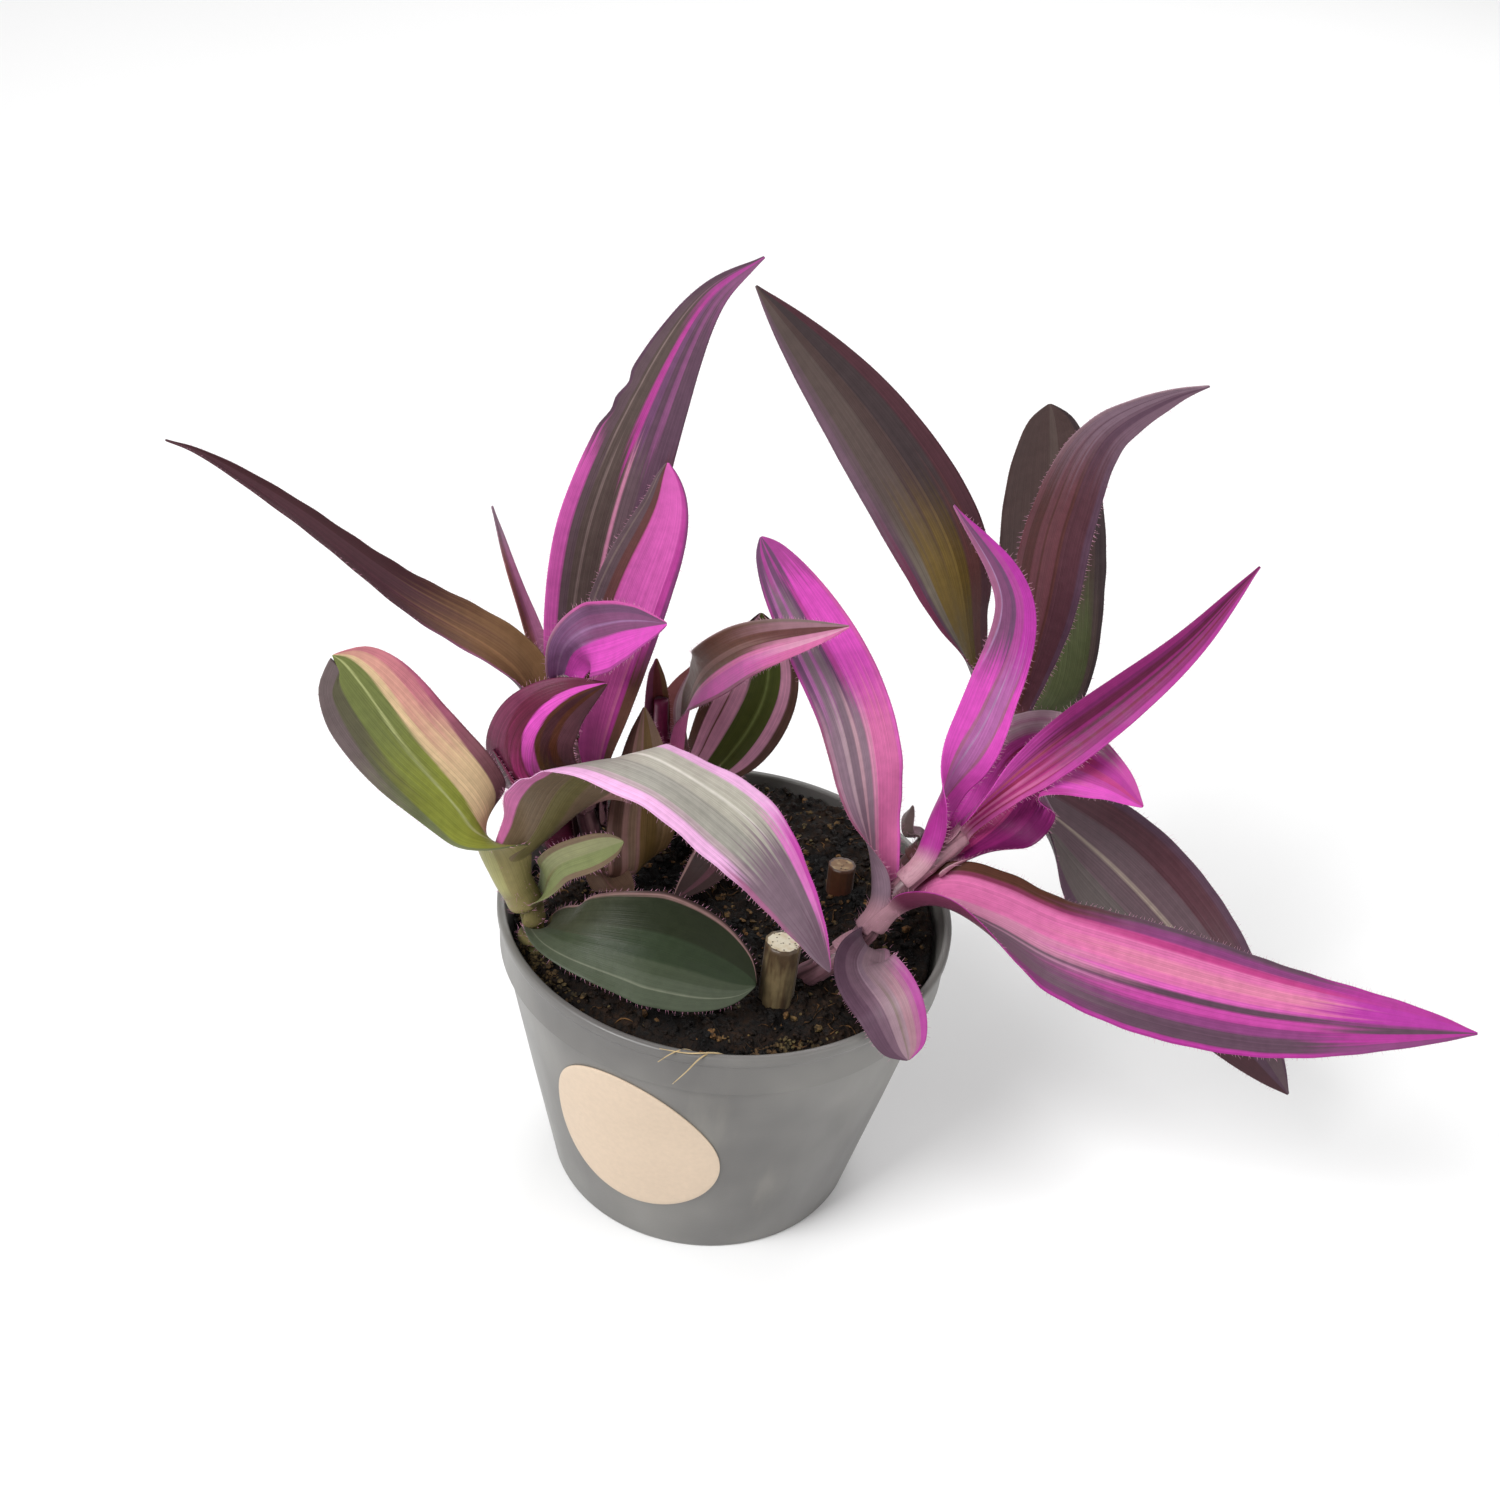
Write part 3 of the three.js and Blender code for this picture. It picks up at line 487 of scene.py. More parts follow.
leafForm = {"thick": 0.62, "edgeThin": 0.55, "tipThin": 0.4, "thinnest": 0.25, "solidThick": 0.8,
            "sheathGap": 0.35, "clasp": 1.9, "lipRise": 2.5, "lipOut": 0.8, "nickReach": 0.012,
            "groove": 0.3, "grooveWidth": 1.3, "flutter": 0.25, "flutterPace": 0.55, "ripples": 14,
            "fine": 240, "rowStep": 2.4, "rowRange": (24, 84), "columns": 18,
            "hairStep": 1.1, "hairLength": 1.35, "hairRadius": 0.05, "mouthHairs": 46}

# what holds for a leaf whose own entry says nothing else
leafUsual = {"wrap": 0, "broad": 0.5, "swell": 1.6, "neck": 1.35, "belly": 2, "blunt": 0.9, "wave": 0.4,
             "notch": 0, "nicks": [], "face": [], "fade": (0.25, 0.6), "endFade": None,
             "underFade": (0.3, 0.7), "veins": 0.17, "underVeins": 0.22, "drift": 0, "underDrift": 0}


def leafLine(leaf):
    # the midrib from the sheath's foot to the tip, and where the upper side looks all along it
    stem = stems[leaf["stem"]]
    fine = leafForm["fine"]
    stemSpots, _, stemLength = evenPath([Vector(p) for p in stem["points"]], fine)
    i = min(int(fine * leaf["at"] / stemLength), fine - 1)
    spot = stemSpots[i]
    axis = (stemSpots[i + 1] - stemSpots[i]).normalized()
    radius = mix(stem["radius"][0], stem["radius"][1], i / fine)
    through = [Vector(p) for p in leaf["through"]]
    out = squared(Vector(leaf["out"]) if "out" in leaf else through[0] - spot, axis)
    thick, gap = leafForm["solidThick"], leafForm["sheathGap"]
    sleeve = radius + gap + thick / 2 + leaf["wrap"] * (thick + gap)
    foot = spot + out * sleeve
    mouth = foot + axis * leaf["sheath"]
    lip = mouth + axis * leafForm["lipRise"] + out * leafForm["lipOut"]
    spots, along, length = evenPath([foot, mouth, lip] + through, fine)
    start = leaf["sheath"] / length
    facing = [squared(-out, along[0])]
    for k in range(1, fine + 1):
        facing.append(squared(facing[-1], along[k]))
    aims = [Vector(f).normalized() for f in leaf["face"]]
    if len(aims) == 1:
        aims = aims * 2
    for k in range(fine + 1):
        x = min(max((k / fine - start) / (1 - start), 0), 1)
        aim = facing[k].copy()
        for j, target in enumerate(aims):
            aim = aim.lerp(target, ease(j / len(aims), (j + 1) / len(aims), x))
        facing[k] = squared(aim, along[k])
    return {"spots": spots, "along": along, "facing": facing, "length": length, "start": start,
            "sleeve": sleeve}


def openAngle(leaf, line, t):
    # half angle of the sleeve, from clasping at the foot to the neck above its mouth
    opened = ease(line["start"] * 0.5, line["start"] + 3 / line["length"], t)
    return mix(leafForm["clasp"], leaf["neck"], opened)


def halfWidth(leaf, line, t):
    # it grows from the sleeve's width up to the broadest place and shrinks from there to the tip
    broad = leaf["broad"]
    swell = min(max((t - line["start"]) / (broad - line["start"]), 0), 1)
    grown = 1 - (1 - swell) ** leaf["swell"]
    full = mix(openAngle(leaf, line, t) * line["sleeve"], leaf["width"] / 2, grown)
    x = min(max((t - broad) / (1 - broad), 0), 1)
    return max(full * (1 - x ** leaf["belly"]) ** leaf["blunt"], 0.3)


def leafSpot(leaf, line, u, t):
    # point, outward side and upper direction at u across (-1 to 1) and t along (0 to 1)
    start, length, fine = line["start"], line["length"], leafForm["fine"]
    k = min(t * fine, fine - 1e-6)
    i, part = int(k), k - int(k)
    spot = line["spots"][i].lerp(line["spots"][i + 1], part)
    along = line["along"][i].lerp(line["along"][i + 1], part).normalized()
    facing = squared(line["facing"][i].lerp(line["facing"][i + 1], part), along)
    side = along.cross(facing)
    cup = math.radians(leaf["cup"])
    cupTip = math.radians(leaf.get("cupTip", leaf["cup"] * 0.8))
    opened = ease(start + 2 / length, max(0.35, start + 0.1), t)
    bend = mix(openAngle(leaf, line, t), mix(cup, cupTip, t), opened)
    if abs(bend) < 0.02:
        bend = 0.02
    half = halfWidth(leaf, line, t)
    cut = 1.0
    for edge, where, depth in leaf["nicks"]:
        if u * edge > 0.4:
            cut -= depth * math.exp(-((t - where) / leafForm["nickReach"]) ** 2) * ease(0.4, 1.0, abs(u))
    turn = u * bend * cut
    point = spot + side * (half / bend * math.sin(turn)) + facing * (half / bend * (1 - math.cos(turn)))
    # slow waves, a quick flutter at the edges, a groove over the midrib and a notch beside the tip
    blade = ease(start, start + 0.25, t)
    ripple = leaf["wave"] * u * u * blade * (1 - ease(0.85, 1, t))
    point += facing * (ripple * math.sin(leafForm["ripples"] * t + (1.9 if u > 0 else 0)))
    flutter = leafForm["flutter"] * abs(u) ** 5 * blade * min(1.0, half / 6)
    point += facing * flutter * math.sin(length * t * leafForm["flutterPace"] + (2.3 if u > 0 else 0.4))
    middle = math.exp(-(u * half / leafForm["grooveWidth"]) ** 2)
    point -= facing * leafForm["groove"] * middle * blade * (1 - ease(0.8, 1, t))
    nip = leaf["notch"] * ease(0.9, 1, t) * max(0, 1 - abs(u + 0.5) / 0.4)
    point -= along * nip
    upper = facing * math.cos(turn) - side * math.sin(turn)
    outward = side * math.cos(turn) + facing * math.sin(turn)
    return point, outward, upper, along


def growLeaf(node, entry):
    leaf = {**leafUsual, **entry}
    line = leafLine(leaf)
    fewest, most = leafForm["rowRange"]
    rows = min(max(round(line["length"] / leafForm["rowStep"]), fewest), most)
    bm = bmesh.new()
    bm.loops.layers.uv.new("UVMap")
    made = bmesh.ops.create_grid(bm, x_segments=leafForm["columns"], y_segments=rows, size=1.0,
                                 calc_uvs=True)
    weights = []  # how much of the full thickness each point gets
    for v in made["verts"]:
        u, t = v.co.x, (v.co.y + 1) / 2
        v.co = leafSpot(leaf, line, u, t)[0] * mm
        weights.append((1 - leafForm["edgeThin"] * u * u) * (1 - leafForm["tipThin"] * ease(0.9, 1, t)))
    sheath, start = stems[leaf["stem"]]["sheath"], line["start"]
    upper = [(leaf["foot"], leaf["fade"]), (leaf["tip"], leaf["endFade"])]
    if "end" in leaf:
        upper.append((leaf["end"], None))
    under = [(leaf["under"], leaf["underFade"]), (leaf.get("underTip", leaf["under"]), None)]
    skins = [leafSkin(node + "_upper", upper, start, sheath, leaf["veins"], leaf["drift"]),
             leafSkin(node + "_under", under, start, sheath, leaf["underVeins"], leaf["underDrift"])]
    blade = finishPiece(node + "_blade", bm, skins)
    group = blade.vertex_groups.new(name="thick")
    for index, weight in enumerate(weights):
        group.add([index], weight, "REPLACE")
    wall = blade.modifiers.new("wall", "SOLIDIFY")
    wall.thickness = leafForm["thick"] * mm
    wall.offset = 0
    wall.vertex_group = "thick"
    wall.thickness_vertex_group = leafForm["thinnest"]
    wall.material_offset = 1
    smooth = blade.modifiers.new("smooth", "SUBSURF")
    smooth.levels = smooth.render_levels = 1
    rideRoot(blade, slotOf[node], node)
    growHairs(node, leaf, line)


def growHairs(node, leaf, line):
    # fine pale hairs on both edges, and longer ones round the sheath's mouth
    pick = random.Random(node)
    bm = bmesh.new()
    start = line["start"]
    count = int(line["length"] / leafForm["hairStep"])
    for edge in (-1, 1):
        for k in range(count):
            t = start + (1 - start) * (k + pick.random()) / count * 0.97
            root, outward, upper, along = leafSpot(leaf, line, edge * 0.995, t)
            lean = outward * edge + upper * pick.uniform(-0.5, 0.5) + along * pick.uniform(-0.1, 0.7)
            size = leafForm["hairLength"] * pick.uniform(0.4, 1.1) * mix(1.3, 0.7, t)
            addHair(bm, root, lean.normalized(), size, leafForm["hairRadius"])
    for k in range(leafForm["mouthHairs"]):
        t = start * pick.uniform(0.0, 1.5)
        u = pick.uniform(-1, 1)
        root, outward, upper, along = leafSpot(leaf, line, u, t)
        lean = -upper + along * pick.uniform(0.2, 1.2) + outward * pick.uniform(-0.5, 0.5)
        size = leafForm["hairLength"] * pick.uniform(0.6, 1.7)
        addHair(bm, root - upper * 0.25, lean.normalized(), size, leafForm["hairRadius"])
    rideRoot(finishPiece(node + "_hairs", bm, [paleHair], False), slotOf[node])


paleHair = hairSkin("pale_hair", "palePink")

growLeaf("left_leaf_1", {
    "stem": "left", "at": 29, "sheath": 5, "width": 26, "wrap": 1, "broad": 0.65, "swell": 1.3, "neck": 1.8,
    "blunt": 0.5, "belly": 3.5, "cup": 14, "notch": 5, "wave": 0.6,
    "through": [(-64, -20, 123), (-81, -24, 146), (-97, -26, 169)], "face": [(0.3, -0.75, 0.55)],
    "foot": [(0, "mossGrey"), (0.1, "lime"), (0.38, "paleLime"), (0.4, "lime"), (0.52, "cream"),
             (0.87, "plumBrown")],
    "tip": [(0, "greyMauve"), (0.05, "mossBrown"), (0.2, "oliveGreen"), (0.41, "paleLime"),
            (0.425, "oliveGreen"), (0.54, "cream"), (0.61, "peach"), (0.74, "rosePeach"),
            (0.86, "mauveRose")],
    "under": [(0, "sheathKhaki"), (0.5, "stemStraw"), (0.87, "dullPink")],
    "underTip": [(0, "oliveGreen"), (0.5, "cream"), (0.87, "plumBrown")],
    "fade": (0.45, 0.8), "drift": 0.33,
})
growLeaf("left_leaf_2", {
    "stem": "left", "at": 36, "sheath": 6, "width": 29, "broad": 0.4, "swell": 4, "neck": 1.9, "blunt": 0.8,
    "cup": -20, "cupTip": -16, "out": (0.5, -0.8, 0),
    "through": [(-47, -20, 118), (-39, -26, 139), (-25, -37, 157), (3, -45, 146), (19, -47, 124),
                (27, -48, 108)],
    "face": [(-0.3, 0.95, 0.1), (0, 0.1, 1), (0.5, -0.6, 0.65), (0.6, -0.6, 0.5)],
    # foot row: the first stripe, pale pink along the edge up to 0.17 across, is the leaf's pink edge with a
    # painted highlight on it
    "foot": [(0, "blushAndHighlight"), (0.17, "silver"), (0.39, "chalk"), (0.41, "silver"), (0.55, "ashSilver"),
             (0.8, "blushGrey"), (0.87, "blushAndHighlight")],
    "tip": [(0, "hotPink"), (0.13, "edgePink"), (0.27, "dullMauve"), (0.4, "mauveGrey"),
            (0.42, "dullMauve"), (0.93, "orchidDusk")],
    "end": [(0, "hotPink"), (0.12, "orchidDusk"), (0.22, "duskMauve"), (0.9, "dullMauve")],
    "under": [(0, "tanRose"), (0.2, "khakiBrown"), (0.4, "khakiDark"), (0.6, "khakiBrown"),
              (0.84, "edgeRose")],
    "underTip": [(0, "umber"), (0.3, "brownMauve"), (0.5, "roseBrown"), (0.7, "brownMauve"),
                 (0.84, "edgePink")],
    "fade": (0.68, 0.78), "endFade": (0.86, 0.96),
})
growLeaf("left_leaf_3", {
    "stem": "left", "at": 23, "sheath": 4, "width": 10, "broad": 0.7, "blunt": 0.5, "cup": 30,
    "out": (1, -0.2, 0), "through": [(-43, -22, 110), (-34, -26, 119), (-26, -29, 126)],
    "face": [(0, -0.8, 0.6)],
    "foot": [(0, "khaki"), (0.45, "khakiDark"), (0.55, "khaki")],
    "tip": [(0, "khakiBrown"), (0.15, "khakiLight"), (0.5, "khaki"), (0.85, "khakiBrown")],
    "under": [(0, "khaki"), (0.5, "khakiDark")],
})
growLeaf("left_leaf_4", {
    "stem": "left", "at": 18, "sheath": 3, "width": 29, "wrap": 1, "broad": 0.6, "swell": 1, "neck": 1.1,
    "blunt": 0.6, "cup": 16, "wave": 0.8, "out": (0.6, -0.8, 0),
    "through": [(-38, -31, 97), (-16, -36, 99), (10, -34, 89)], "face": [(0, -0.75, 0.65)],
    "foot": [(0, "dullPink"), (0.035, "mossDark"), (0.5, "mossMid"), (0.66, "greyMoss"), (0.83, "paleMoss"),
             (0.845, "greyMoss")],
    "tip": [(0, "nightBrown"), (0.03, "dullPink"), (0.05, "nightGreen"), (0.35, "deepGreen"),
            (0.6, "mossMid"), (0.72, "greyMoss"), (0.83, "paleMoss"), (0.845, "greyMoss")],
    "under": [(0, "mossMid")],
    "veins": 0.07,
})
growLeaf("middle_leaf_1", {
    "stem": "middle", "at": 66, "sheath": 5, "width": 17, "wrap": 1, "broad": 0.2, "belly": 1.2, "cup": 50,
    "cupTip": 60, "out": (-1, 0.3, 0),
    "through": [(-59, 6, 150), (-86, 0, 171), (-111, -6, 195), (-131, -10, 210), (-137, -12, 213)],
    "foot": [(0, "orchidDusk"), (0.06, "pinkBrown"), (0.14, "clay"), (0.42, "clayLight"), (0.52, "clay")],
    "tip": [(0, "plumDark"), (0.42, "plumMid"), (0.5, "plumDark"), (0.75, "nightPlum")],
    "under": [(0, "plumDark")],
    "fade": (0.22, 0.5),
})
growLeaf("middle_leaf_2", {
    "stem": "middle", "at": 72, "sheath": 4, "width": 7, "broad": 0.25, "belly": 1.2, "cup": 70,
    "out": (-0.5, 0.9, 0), "through": [(-55, 21, 147), (-63, 25, 167), (-68, 25, 184)],
    "foot": [(0, "clay"), (0.3, "pinkBrown"), (0.5, "orchidDusk")],
    "tip": [(0, "pinkBrown"), (0.35, "duskRose"), (0.6, "orchidDusk")],
    "end": [(0, "mauveGrey")],
    "under": [(0, "plumMid")],
    "endFade": (0.7, 0.95),
})
growLeaf("middle_leaf_3", {
    "stem": "middle", "at": 34, "sheath": 5, "width": 26, "wrap": 1, "belly": 1.4, "cup": 24,
    "out": (0.1, 1, 0),
    "through": [(-42, 20, 139), (-40, 26, 176), (-32, 32, 209), (-19, 36, 240), (-7, 38, 251)],
    "face": [(0.1, -0.95, 0.3)], "nicks": [(-1, 0.69, 0.16), (-1, 0.735, 0.22)],
    "foot": [(0, "orchidPink"), (0.15, "taupeMauve"), (0.24, "taupe"), (0.31, "taupeLine"),
             (0.325, "taupe"), (0.505, "softRose"), (0.54, "taupeMauve"), (0.7, "duskPlum"),
             (0.9, "plumMid")],
    "tip": [(0, "duskPlum"), (0.05, "taupeMauve"), (0.2, "taupe"), (0.24, "taupeLine"), (0.25, "taupe"),
            (0.42, "magentaRose"), (0.51, "duskPurple"), (0.6, "duskPlum"), (0.69, "mauvePurple"),
            (0.76, "duskPlum")],
    "end": [(0, "duskPlum"), (0.22, "mauvePurple"), (0.3, "orchidDeep"), (0.55, "mauvePurple")],
    "under": [(0, "plumMid")],
    "fade": (0.6, 0.68), "endFade": (0.84, 0.98),
})
growLeaf("middle_leaf_4", {
    "stem": "middle", "at": 41, "sheath": 5, "width": 20, "wrap": 1, "broad": 0.6, "swell": 2,
    "blunt": 0.67, "cup": 24, "out": (0.3, 1, 0),
    "through": [(-39, 12, 129), (-32, 14, 167), (-25, 17, 193), (-25, 18, 205)],
    "face": [(0.1, -0.95, 0.3)],
    "foot": [(0, "umberDark"), (0.33, "orchid"), (0.74, "rose"), (0.77, "magentaRose"), (0.84, "umber")],
    "tip": [(0, "taupeMauve"), (0.05, "taupeLine"), (0.07, "taupeMauve"), (0.17, "umberMauve"),
            (0.3, "orchid"), (0.33, "orchidPink"), (0.84, "magentaRose"), (0.93, "duskMagenta")],
    "under": [(0, "magentaRose")],
    "fade": (0.4, 0.58), "drift": 0.08,
})
growLeaf("middle_leaf_5", {
    "stem": "middle", "at": 77, "sheath": 4, "width": 19, "swell": 1, "cup": 34, "out": (-0.2, 1, 0),
    "through": [(-44, 3, 158), (-34, -8, 171), (-20, -22, 185)], "face": [(0.1, -0.75, 0.6)],
    "foot": [(0, "dustyPink"), (0.05, "lilac"), (0.3, "silverLilac"), (0.34, "lilac"), (0.52, "hotPink")],
    "tip": [(0, "orchid"), (0.045, "duskPurple"), (0.18, "mauvePurple"), (0.31, "lilac"),
            (0.34, "mauvePurple"), (0.49, "hotPink"), (0.94, "orchidDeep")],
    "under": [(0, "plumMid")],
    "fade": (0.3, 0.55),
})
growLeaf("middle_leaf_6", {
    "stem": "middle", "at": 46, "sheath": 5, "width": 25, "swell": 2.2, "cup": 30, "out": (-0.3, -0.9, 0),
    "through": [(-47, -9, 121), (-52, -13, 133), (-51, -14, 144), (-45, -13, 152), (-34, -9, 158)],
    "face": [(0.2, 0.9, -0.2), (0.3, 0.8, 0)],
    "foot": [(0, "umber"), (0.4, "orchid"), (0.85, "wineDark")],
    "tip": [(0, "umber"), (0.5, "orchid"), (0.8, "wineDark")],
    "under": [(0, "umberDark"), (0.22, "oliveNight"), (0.45, "wineRose"), (0.53, "crimsonPink"),
              (0.66, "wineDark"), (0.8, "wineMauve")],
    "underTip": [(0, "plumMid"), (0.1, "umberDark"), (0.19, "nightPlum"), (0.3, "umberDark"),
                 (0.36, "hotPink"), (0.5, "wineDark"), (0.7, "wineMauve")],
    "underDrift": 0.6,
})
growLeaf("middle_leaf_7", {
    "stem": "middle", "at": 29, "sheath": 5, "width": 16, "wrap": 1, "cup": 50, "out": (-0.9, -0.5, 0),
    "through": [(-48, -1, 100), (-56, -7, 120), (-61, -11, 136)],
    "foot": [(0, "wineRose"), (0.3, "wineDark")],
    "tip": [(0, "wineRose"), (0.4, "wineDark")],
    "under": [(0, "wineRose"), (0.15, "plumMid"), (0.42, "wineMauve"), (0.6, "wineDark"), (0.85, "maroon")],
})
growLeaf("base_leaf_1", {
    "stem": "middle", "at": 19, "sheath": 3, "width": 19, "broad": 0.4, "swell": 3.5, "neck": 2, "cup": 24,
    "out": (0.8, -0.5, 0), "through": [(-25, 3, 90), (-24, 8, 109), (-25, 11, 124), (-26, 13, 137)],
    "face": [(-0.1, 0.9, 0.3)],
    "foot": [(0, "oliveBrown"), (0.5, "tanRose"), (0.6, "oliveBrown")],
    "tip": [(0, "oliveBrown"), (0.5, "tanRose"), (0.6, "oliveBrown")],
    "under": [(0, "oliveBrown"), (0.22, "oliveNight"), (0.44, "oliveBrown"), (0.52, "tanRose"),
              (0.575, "greyBrown"), (0.69, "tanRose"), (0.78, "umberNight"), (0.92, "tanRose")],
    "underTip": [(0, "greyBrown"), (0.3, "oliveBrown"), (0.52, "tanRose"), (0.575, "greyBrown"),
                 (0.69, "tanRose"), (0.78, "umberNight")],
})
growLeaf("base_leaf_2", {
    "stem": "middle", "at": 23, "sheath": 3, "width": 12, "broad": 0.6, "cup": 30, "out": (0.2, -1, 0),
    "through": [(-29, -6, 92), (-24, -11, 96)],
    "foot": [(0, "greyBrown"), (0.5, "tanRose"), (0.55, "greyBrown")],
    "tip": [(0, "greyBrown"), (0.5, "tanRose"), (0.55, "greyBrown")],
    "under": [(0, "tan"), (0.15, "tanRose"), (0.28, "greyBrown"), (0.47, "paleTan"), (0.52, "khakiDark"),
              (0.8, "umberNight")],
})
growLeaf("base_leaf_3", {
    "stem": "back", "at": 19, "sheath": 3, "width": 14, "cup": 20, "out": (0.5, -1, 0),
    "through": [(-3, 23, 88), (-6, 12, 87), (-14, 1, 84)],
    "foot": [(0, "duskPlum"), (0.3, "umberMauve"), (0.92, "dullPink")],
    "tip": [(0, "nightBrown"), (0.3, "plumMid"), (0.5, "nightBrown"), (0.93, "dullPink")],
    "under": [(0, "nightPlum")],
})
growLeaf("back_leaf_1", {
    "stem": "back", "at": 36, "sheath": 5, "width": 15, "cup": 30, "out": (1, -0.4, 0),
    "through": [(-15, 33, 127), (-4, 13, 156), (22, -13, 184)], "face": [(0.1, -0.8, 0.6)],
    "foot": [(0, "dullPink"), (0.03, "umber"), (0.36, "tanRose"), (0.46, "umber"), (0.56, "rose"),
             (0.64, "orchidPink"), (0.93, "duskRose")],
    "tip": [(0, "taupeLine"), (0.08, "dullRose"), (0.26, "umberMauve"), (0.49, "softRose"),
            (0.64, "palePink"), (0.78, "rose")],
    "under": [(0, "umber"), (0.5, "rose")],
    "fade": (0.55, 0.85),
})
growLeaf("back_leaf_2", {
    "stem": "back", "at": 44, "sheath": 4, "width": 8, "broad": 0.4, "cup": 60, "out": (-0.3, 1, 0),
    "through": [(-25, 36, 132), (-25, 33, 139)],
    "foot": [(0, "wine"), (0.4, "crimsonWine"), (0.6, "wineRose")],
    "tip": [(0, "duskRose"), (0.35, "redBrown"), (0.75, "clay")],
    "under": [(0, "wine"), (0.6, "redBrown")],
    "fade": (0.2, 0.42),
})
growLeaf("back_leaf_3", {
    "stem": "back", "at": 22, "sheath": 4, "width": 25, "broad": 0.55, "swell": 2.2, "blunt": 0.7,
    "cup": 22, "out": (0.6, 0.8, 0), "through": [(-6, 48, 100), (2, 54, 120), (1, 58, 141)],
    "face": [(0, -0.8, 0.6)],
    "foot": [(0, "umberNight"), (0.12, "palePink"), (0.245, "umber"), (0.26, "palePink"), (0.41, "forest"),
             (0.6, "forestLine"), (0.63, "forest"), (0.77, "palePink"), (0.9, "umberNight")],
    "tip": [(0, "nightBrown"), (0.2, "dullRose"), (0.38, "forest"), (0.6, "forestLine"), (0.62, "forest"),
            (0.75, "tanRose"), (0.85, "nightBrown")],
    "under": [(0, "forestLine")],
    "fade": (0.7, 1),
})
growLeaf("back_leaf_4", {
    "stem": "back", "at": 29, "sheath": 4, "width": 9, "cup": 40, "out": (0.3, 1, 0),
    "through": [(-20, 44, 117), (-16, 48, 128)],
    "foot": [(0, "wine"), (0.45, "pinkBrown")],
    "tip": [(0, "pinkBrown"), (0.5, "dullRose"), (0.6, "blushGrey")],
    "under": [(0, "pinkBrown")],
})
growLeaf("right_leaf_1", {
    "stem": "right", "at": 33, "sheath": 5, "width": 19.5, "broad": 0.6, "swell": 2.4, "neck": 2.1,
    "blunt": 0.55, "cup": 24, "out": (-0.9, 0.3, 0),
    "through": [(36, -3, 111), (27, 5, 147), (-1, 12, 191)], "face": [(0.15, -0.9, 0.4)],
    "foot": [(0, "duskRose"), (0.04, "dustyPink"), (0.09, "mauveGrey"), (0.24, "paleMauve"),
             (0.3, "dullMauve"), (0.41, "paleRose"), (0.47, "mauveGrey"), (0.57, "softRose"),
             (0.64, "rose"), (0.95, "orchidPink")],
    "tip": [(0, "orchidDeep"), (0.04, "duskPurple"), (0.12, "lilacPink"), (0.17, "dullMauve"),
            (0.27, "lilacPink"), (0.32, "dullMauve"), (0.42, "duskPurple"), (0.49, "magentaRose"),
            (0.55, "hotPink"), (0.95, "orchid")],
    "end": [(0, "duskPurple"), (0.2, "orchidDeep"), (0.3, "duskPurple"), (0.42, "orchidDeep"),
            (0.49, "duskPurple"), (0.6, "orchidDeep")],
    "under": [(0, "mauveGrey"), (0.6, "orchid")],
    "fade": (0.48, 0.66), "endFade": (0.84, 0.93),
})
growLeaf("right_leaf_2", {
    "stem": "right", "at": 49, "sheath": 6, "width": 15, "broad": 0.35, "swell": 4, "neck": 2, "cup": 36,
    "out": (-0.6, 0.3, 0.5), "through": [(50, 2, 121), (60, 8, 151), (62, 12, 180), (44, 16, 203)],
    "face": [(-0.3, -0.8, 0.4), (0.6, -0.7, 0.5)],
    "foot": [(0, "hotPink"), (0.4, "orchidDusk"), (0.46, "lilacPink"), (0.56, "silverLilac"),
             (0.59, "lilacPink"), (0.8, "orchidDusk"), (0.85, "hotPink")],
    "tip": [(0, "orchidDusk"), (0.03, "silverLilac"), (0.07, "mauvePurple"), (0.3, "duskPurple"),
            (0.42, "orchidDeep"), (0.6, "magentaBright")],
    "under": [(0, "magenta")],
    "fade": (0.5, 0.66), "drift": 0.6,
})
growLeaf("right_leaf_3", {
    "stem": "right", "at": 63, "sheath": 5, "width": 14, "broad": 0.45, "belly": 1.5, "cup": 36,
    "out": (0, 0.9, 0.2), "through": [(70, 4, 134), (93, 12, 155), (107, 16, 171), (121, 22, 192)],
    "face": [(0, -0.7, 0.7)],
    "foot": [(0, "hotPink"), (0.25, "magentaRose"), (0.36, "redRose"), (0.44, "magentaRose"),
             (0.52, "crimson"), (0.6, "rose"), (0.68, "crimsonPink"), (0.76, "rose"), (0.83, "crimson"),
             (0.88, "orchid")],
    "tip": [(0, "wineMagenta"), (0.18, "deepMagenta"), (0.27, "maroon"), (0.41, "wineMagenta"),
            (0.48, "maroon"), (0.54, "wineMagenta"), (0.66, "crimsonWine"), (0.72, "wineMagenta"),
            (0.86, "magenta")],
    "under": [(0, "magenta")],
    "fade": (0.2, 0.45),
})
growLeaf("right_leaf_4", {
    "stem": "right", "at": 57, "sheath": 5, "width": 30, "wrap": 1, "broad": 0.4, "cup": 30,
    "out": (0.3, 0.5, -0.7), "through": [(67, 12, 115), (76, 13, 134), (92, 6, 135), (102, 0, 132)],
    "face": [(0, -0.5, 0.85)],
    "foot": [(0, "hotPink"), (0.34, "orchid"), (0.42, "redRose"), (0.5, "crimsonPink"),
             (0.6, "wineMagenta"), (0.78, "deepMagenta")],
    "tip": [(0, "paleMauve"), (0.07, "dustyPink"), (0.11, "paleMauve"), (0.17, "dustyPink"),
            (0.22, "magentaRose"), (0.31, "crimson"), (0.42, "crimsonPink"), (0.55, "magentaRose"),
            (0.68, "orchid"), (0.76, "hotPink"), (0.88, "magentaRose")],
    "end": [(0, "magentaRose"), (0.25, "magenta"), (0.42, "crimsonPink"), (0.55, "magentaRose"),
            (0.68, "hotPink")],
    "under": [(0, "wineMagenta"), (0.5, "deepMagenta")],
    "fade": (0.42, 0.58), "endFade": (0.74, 0.86),
})
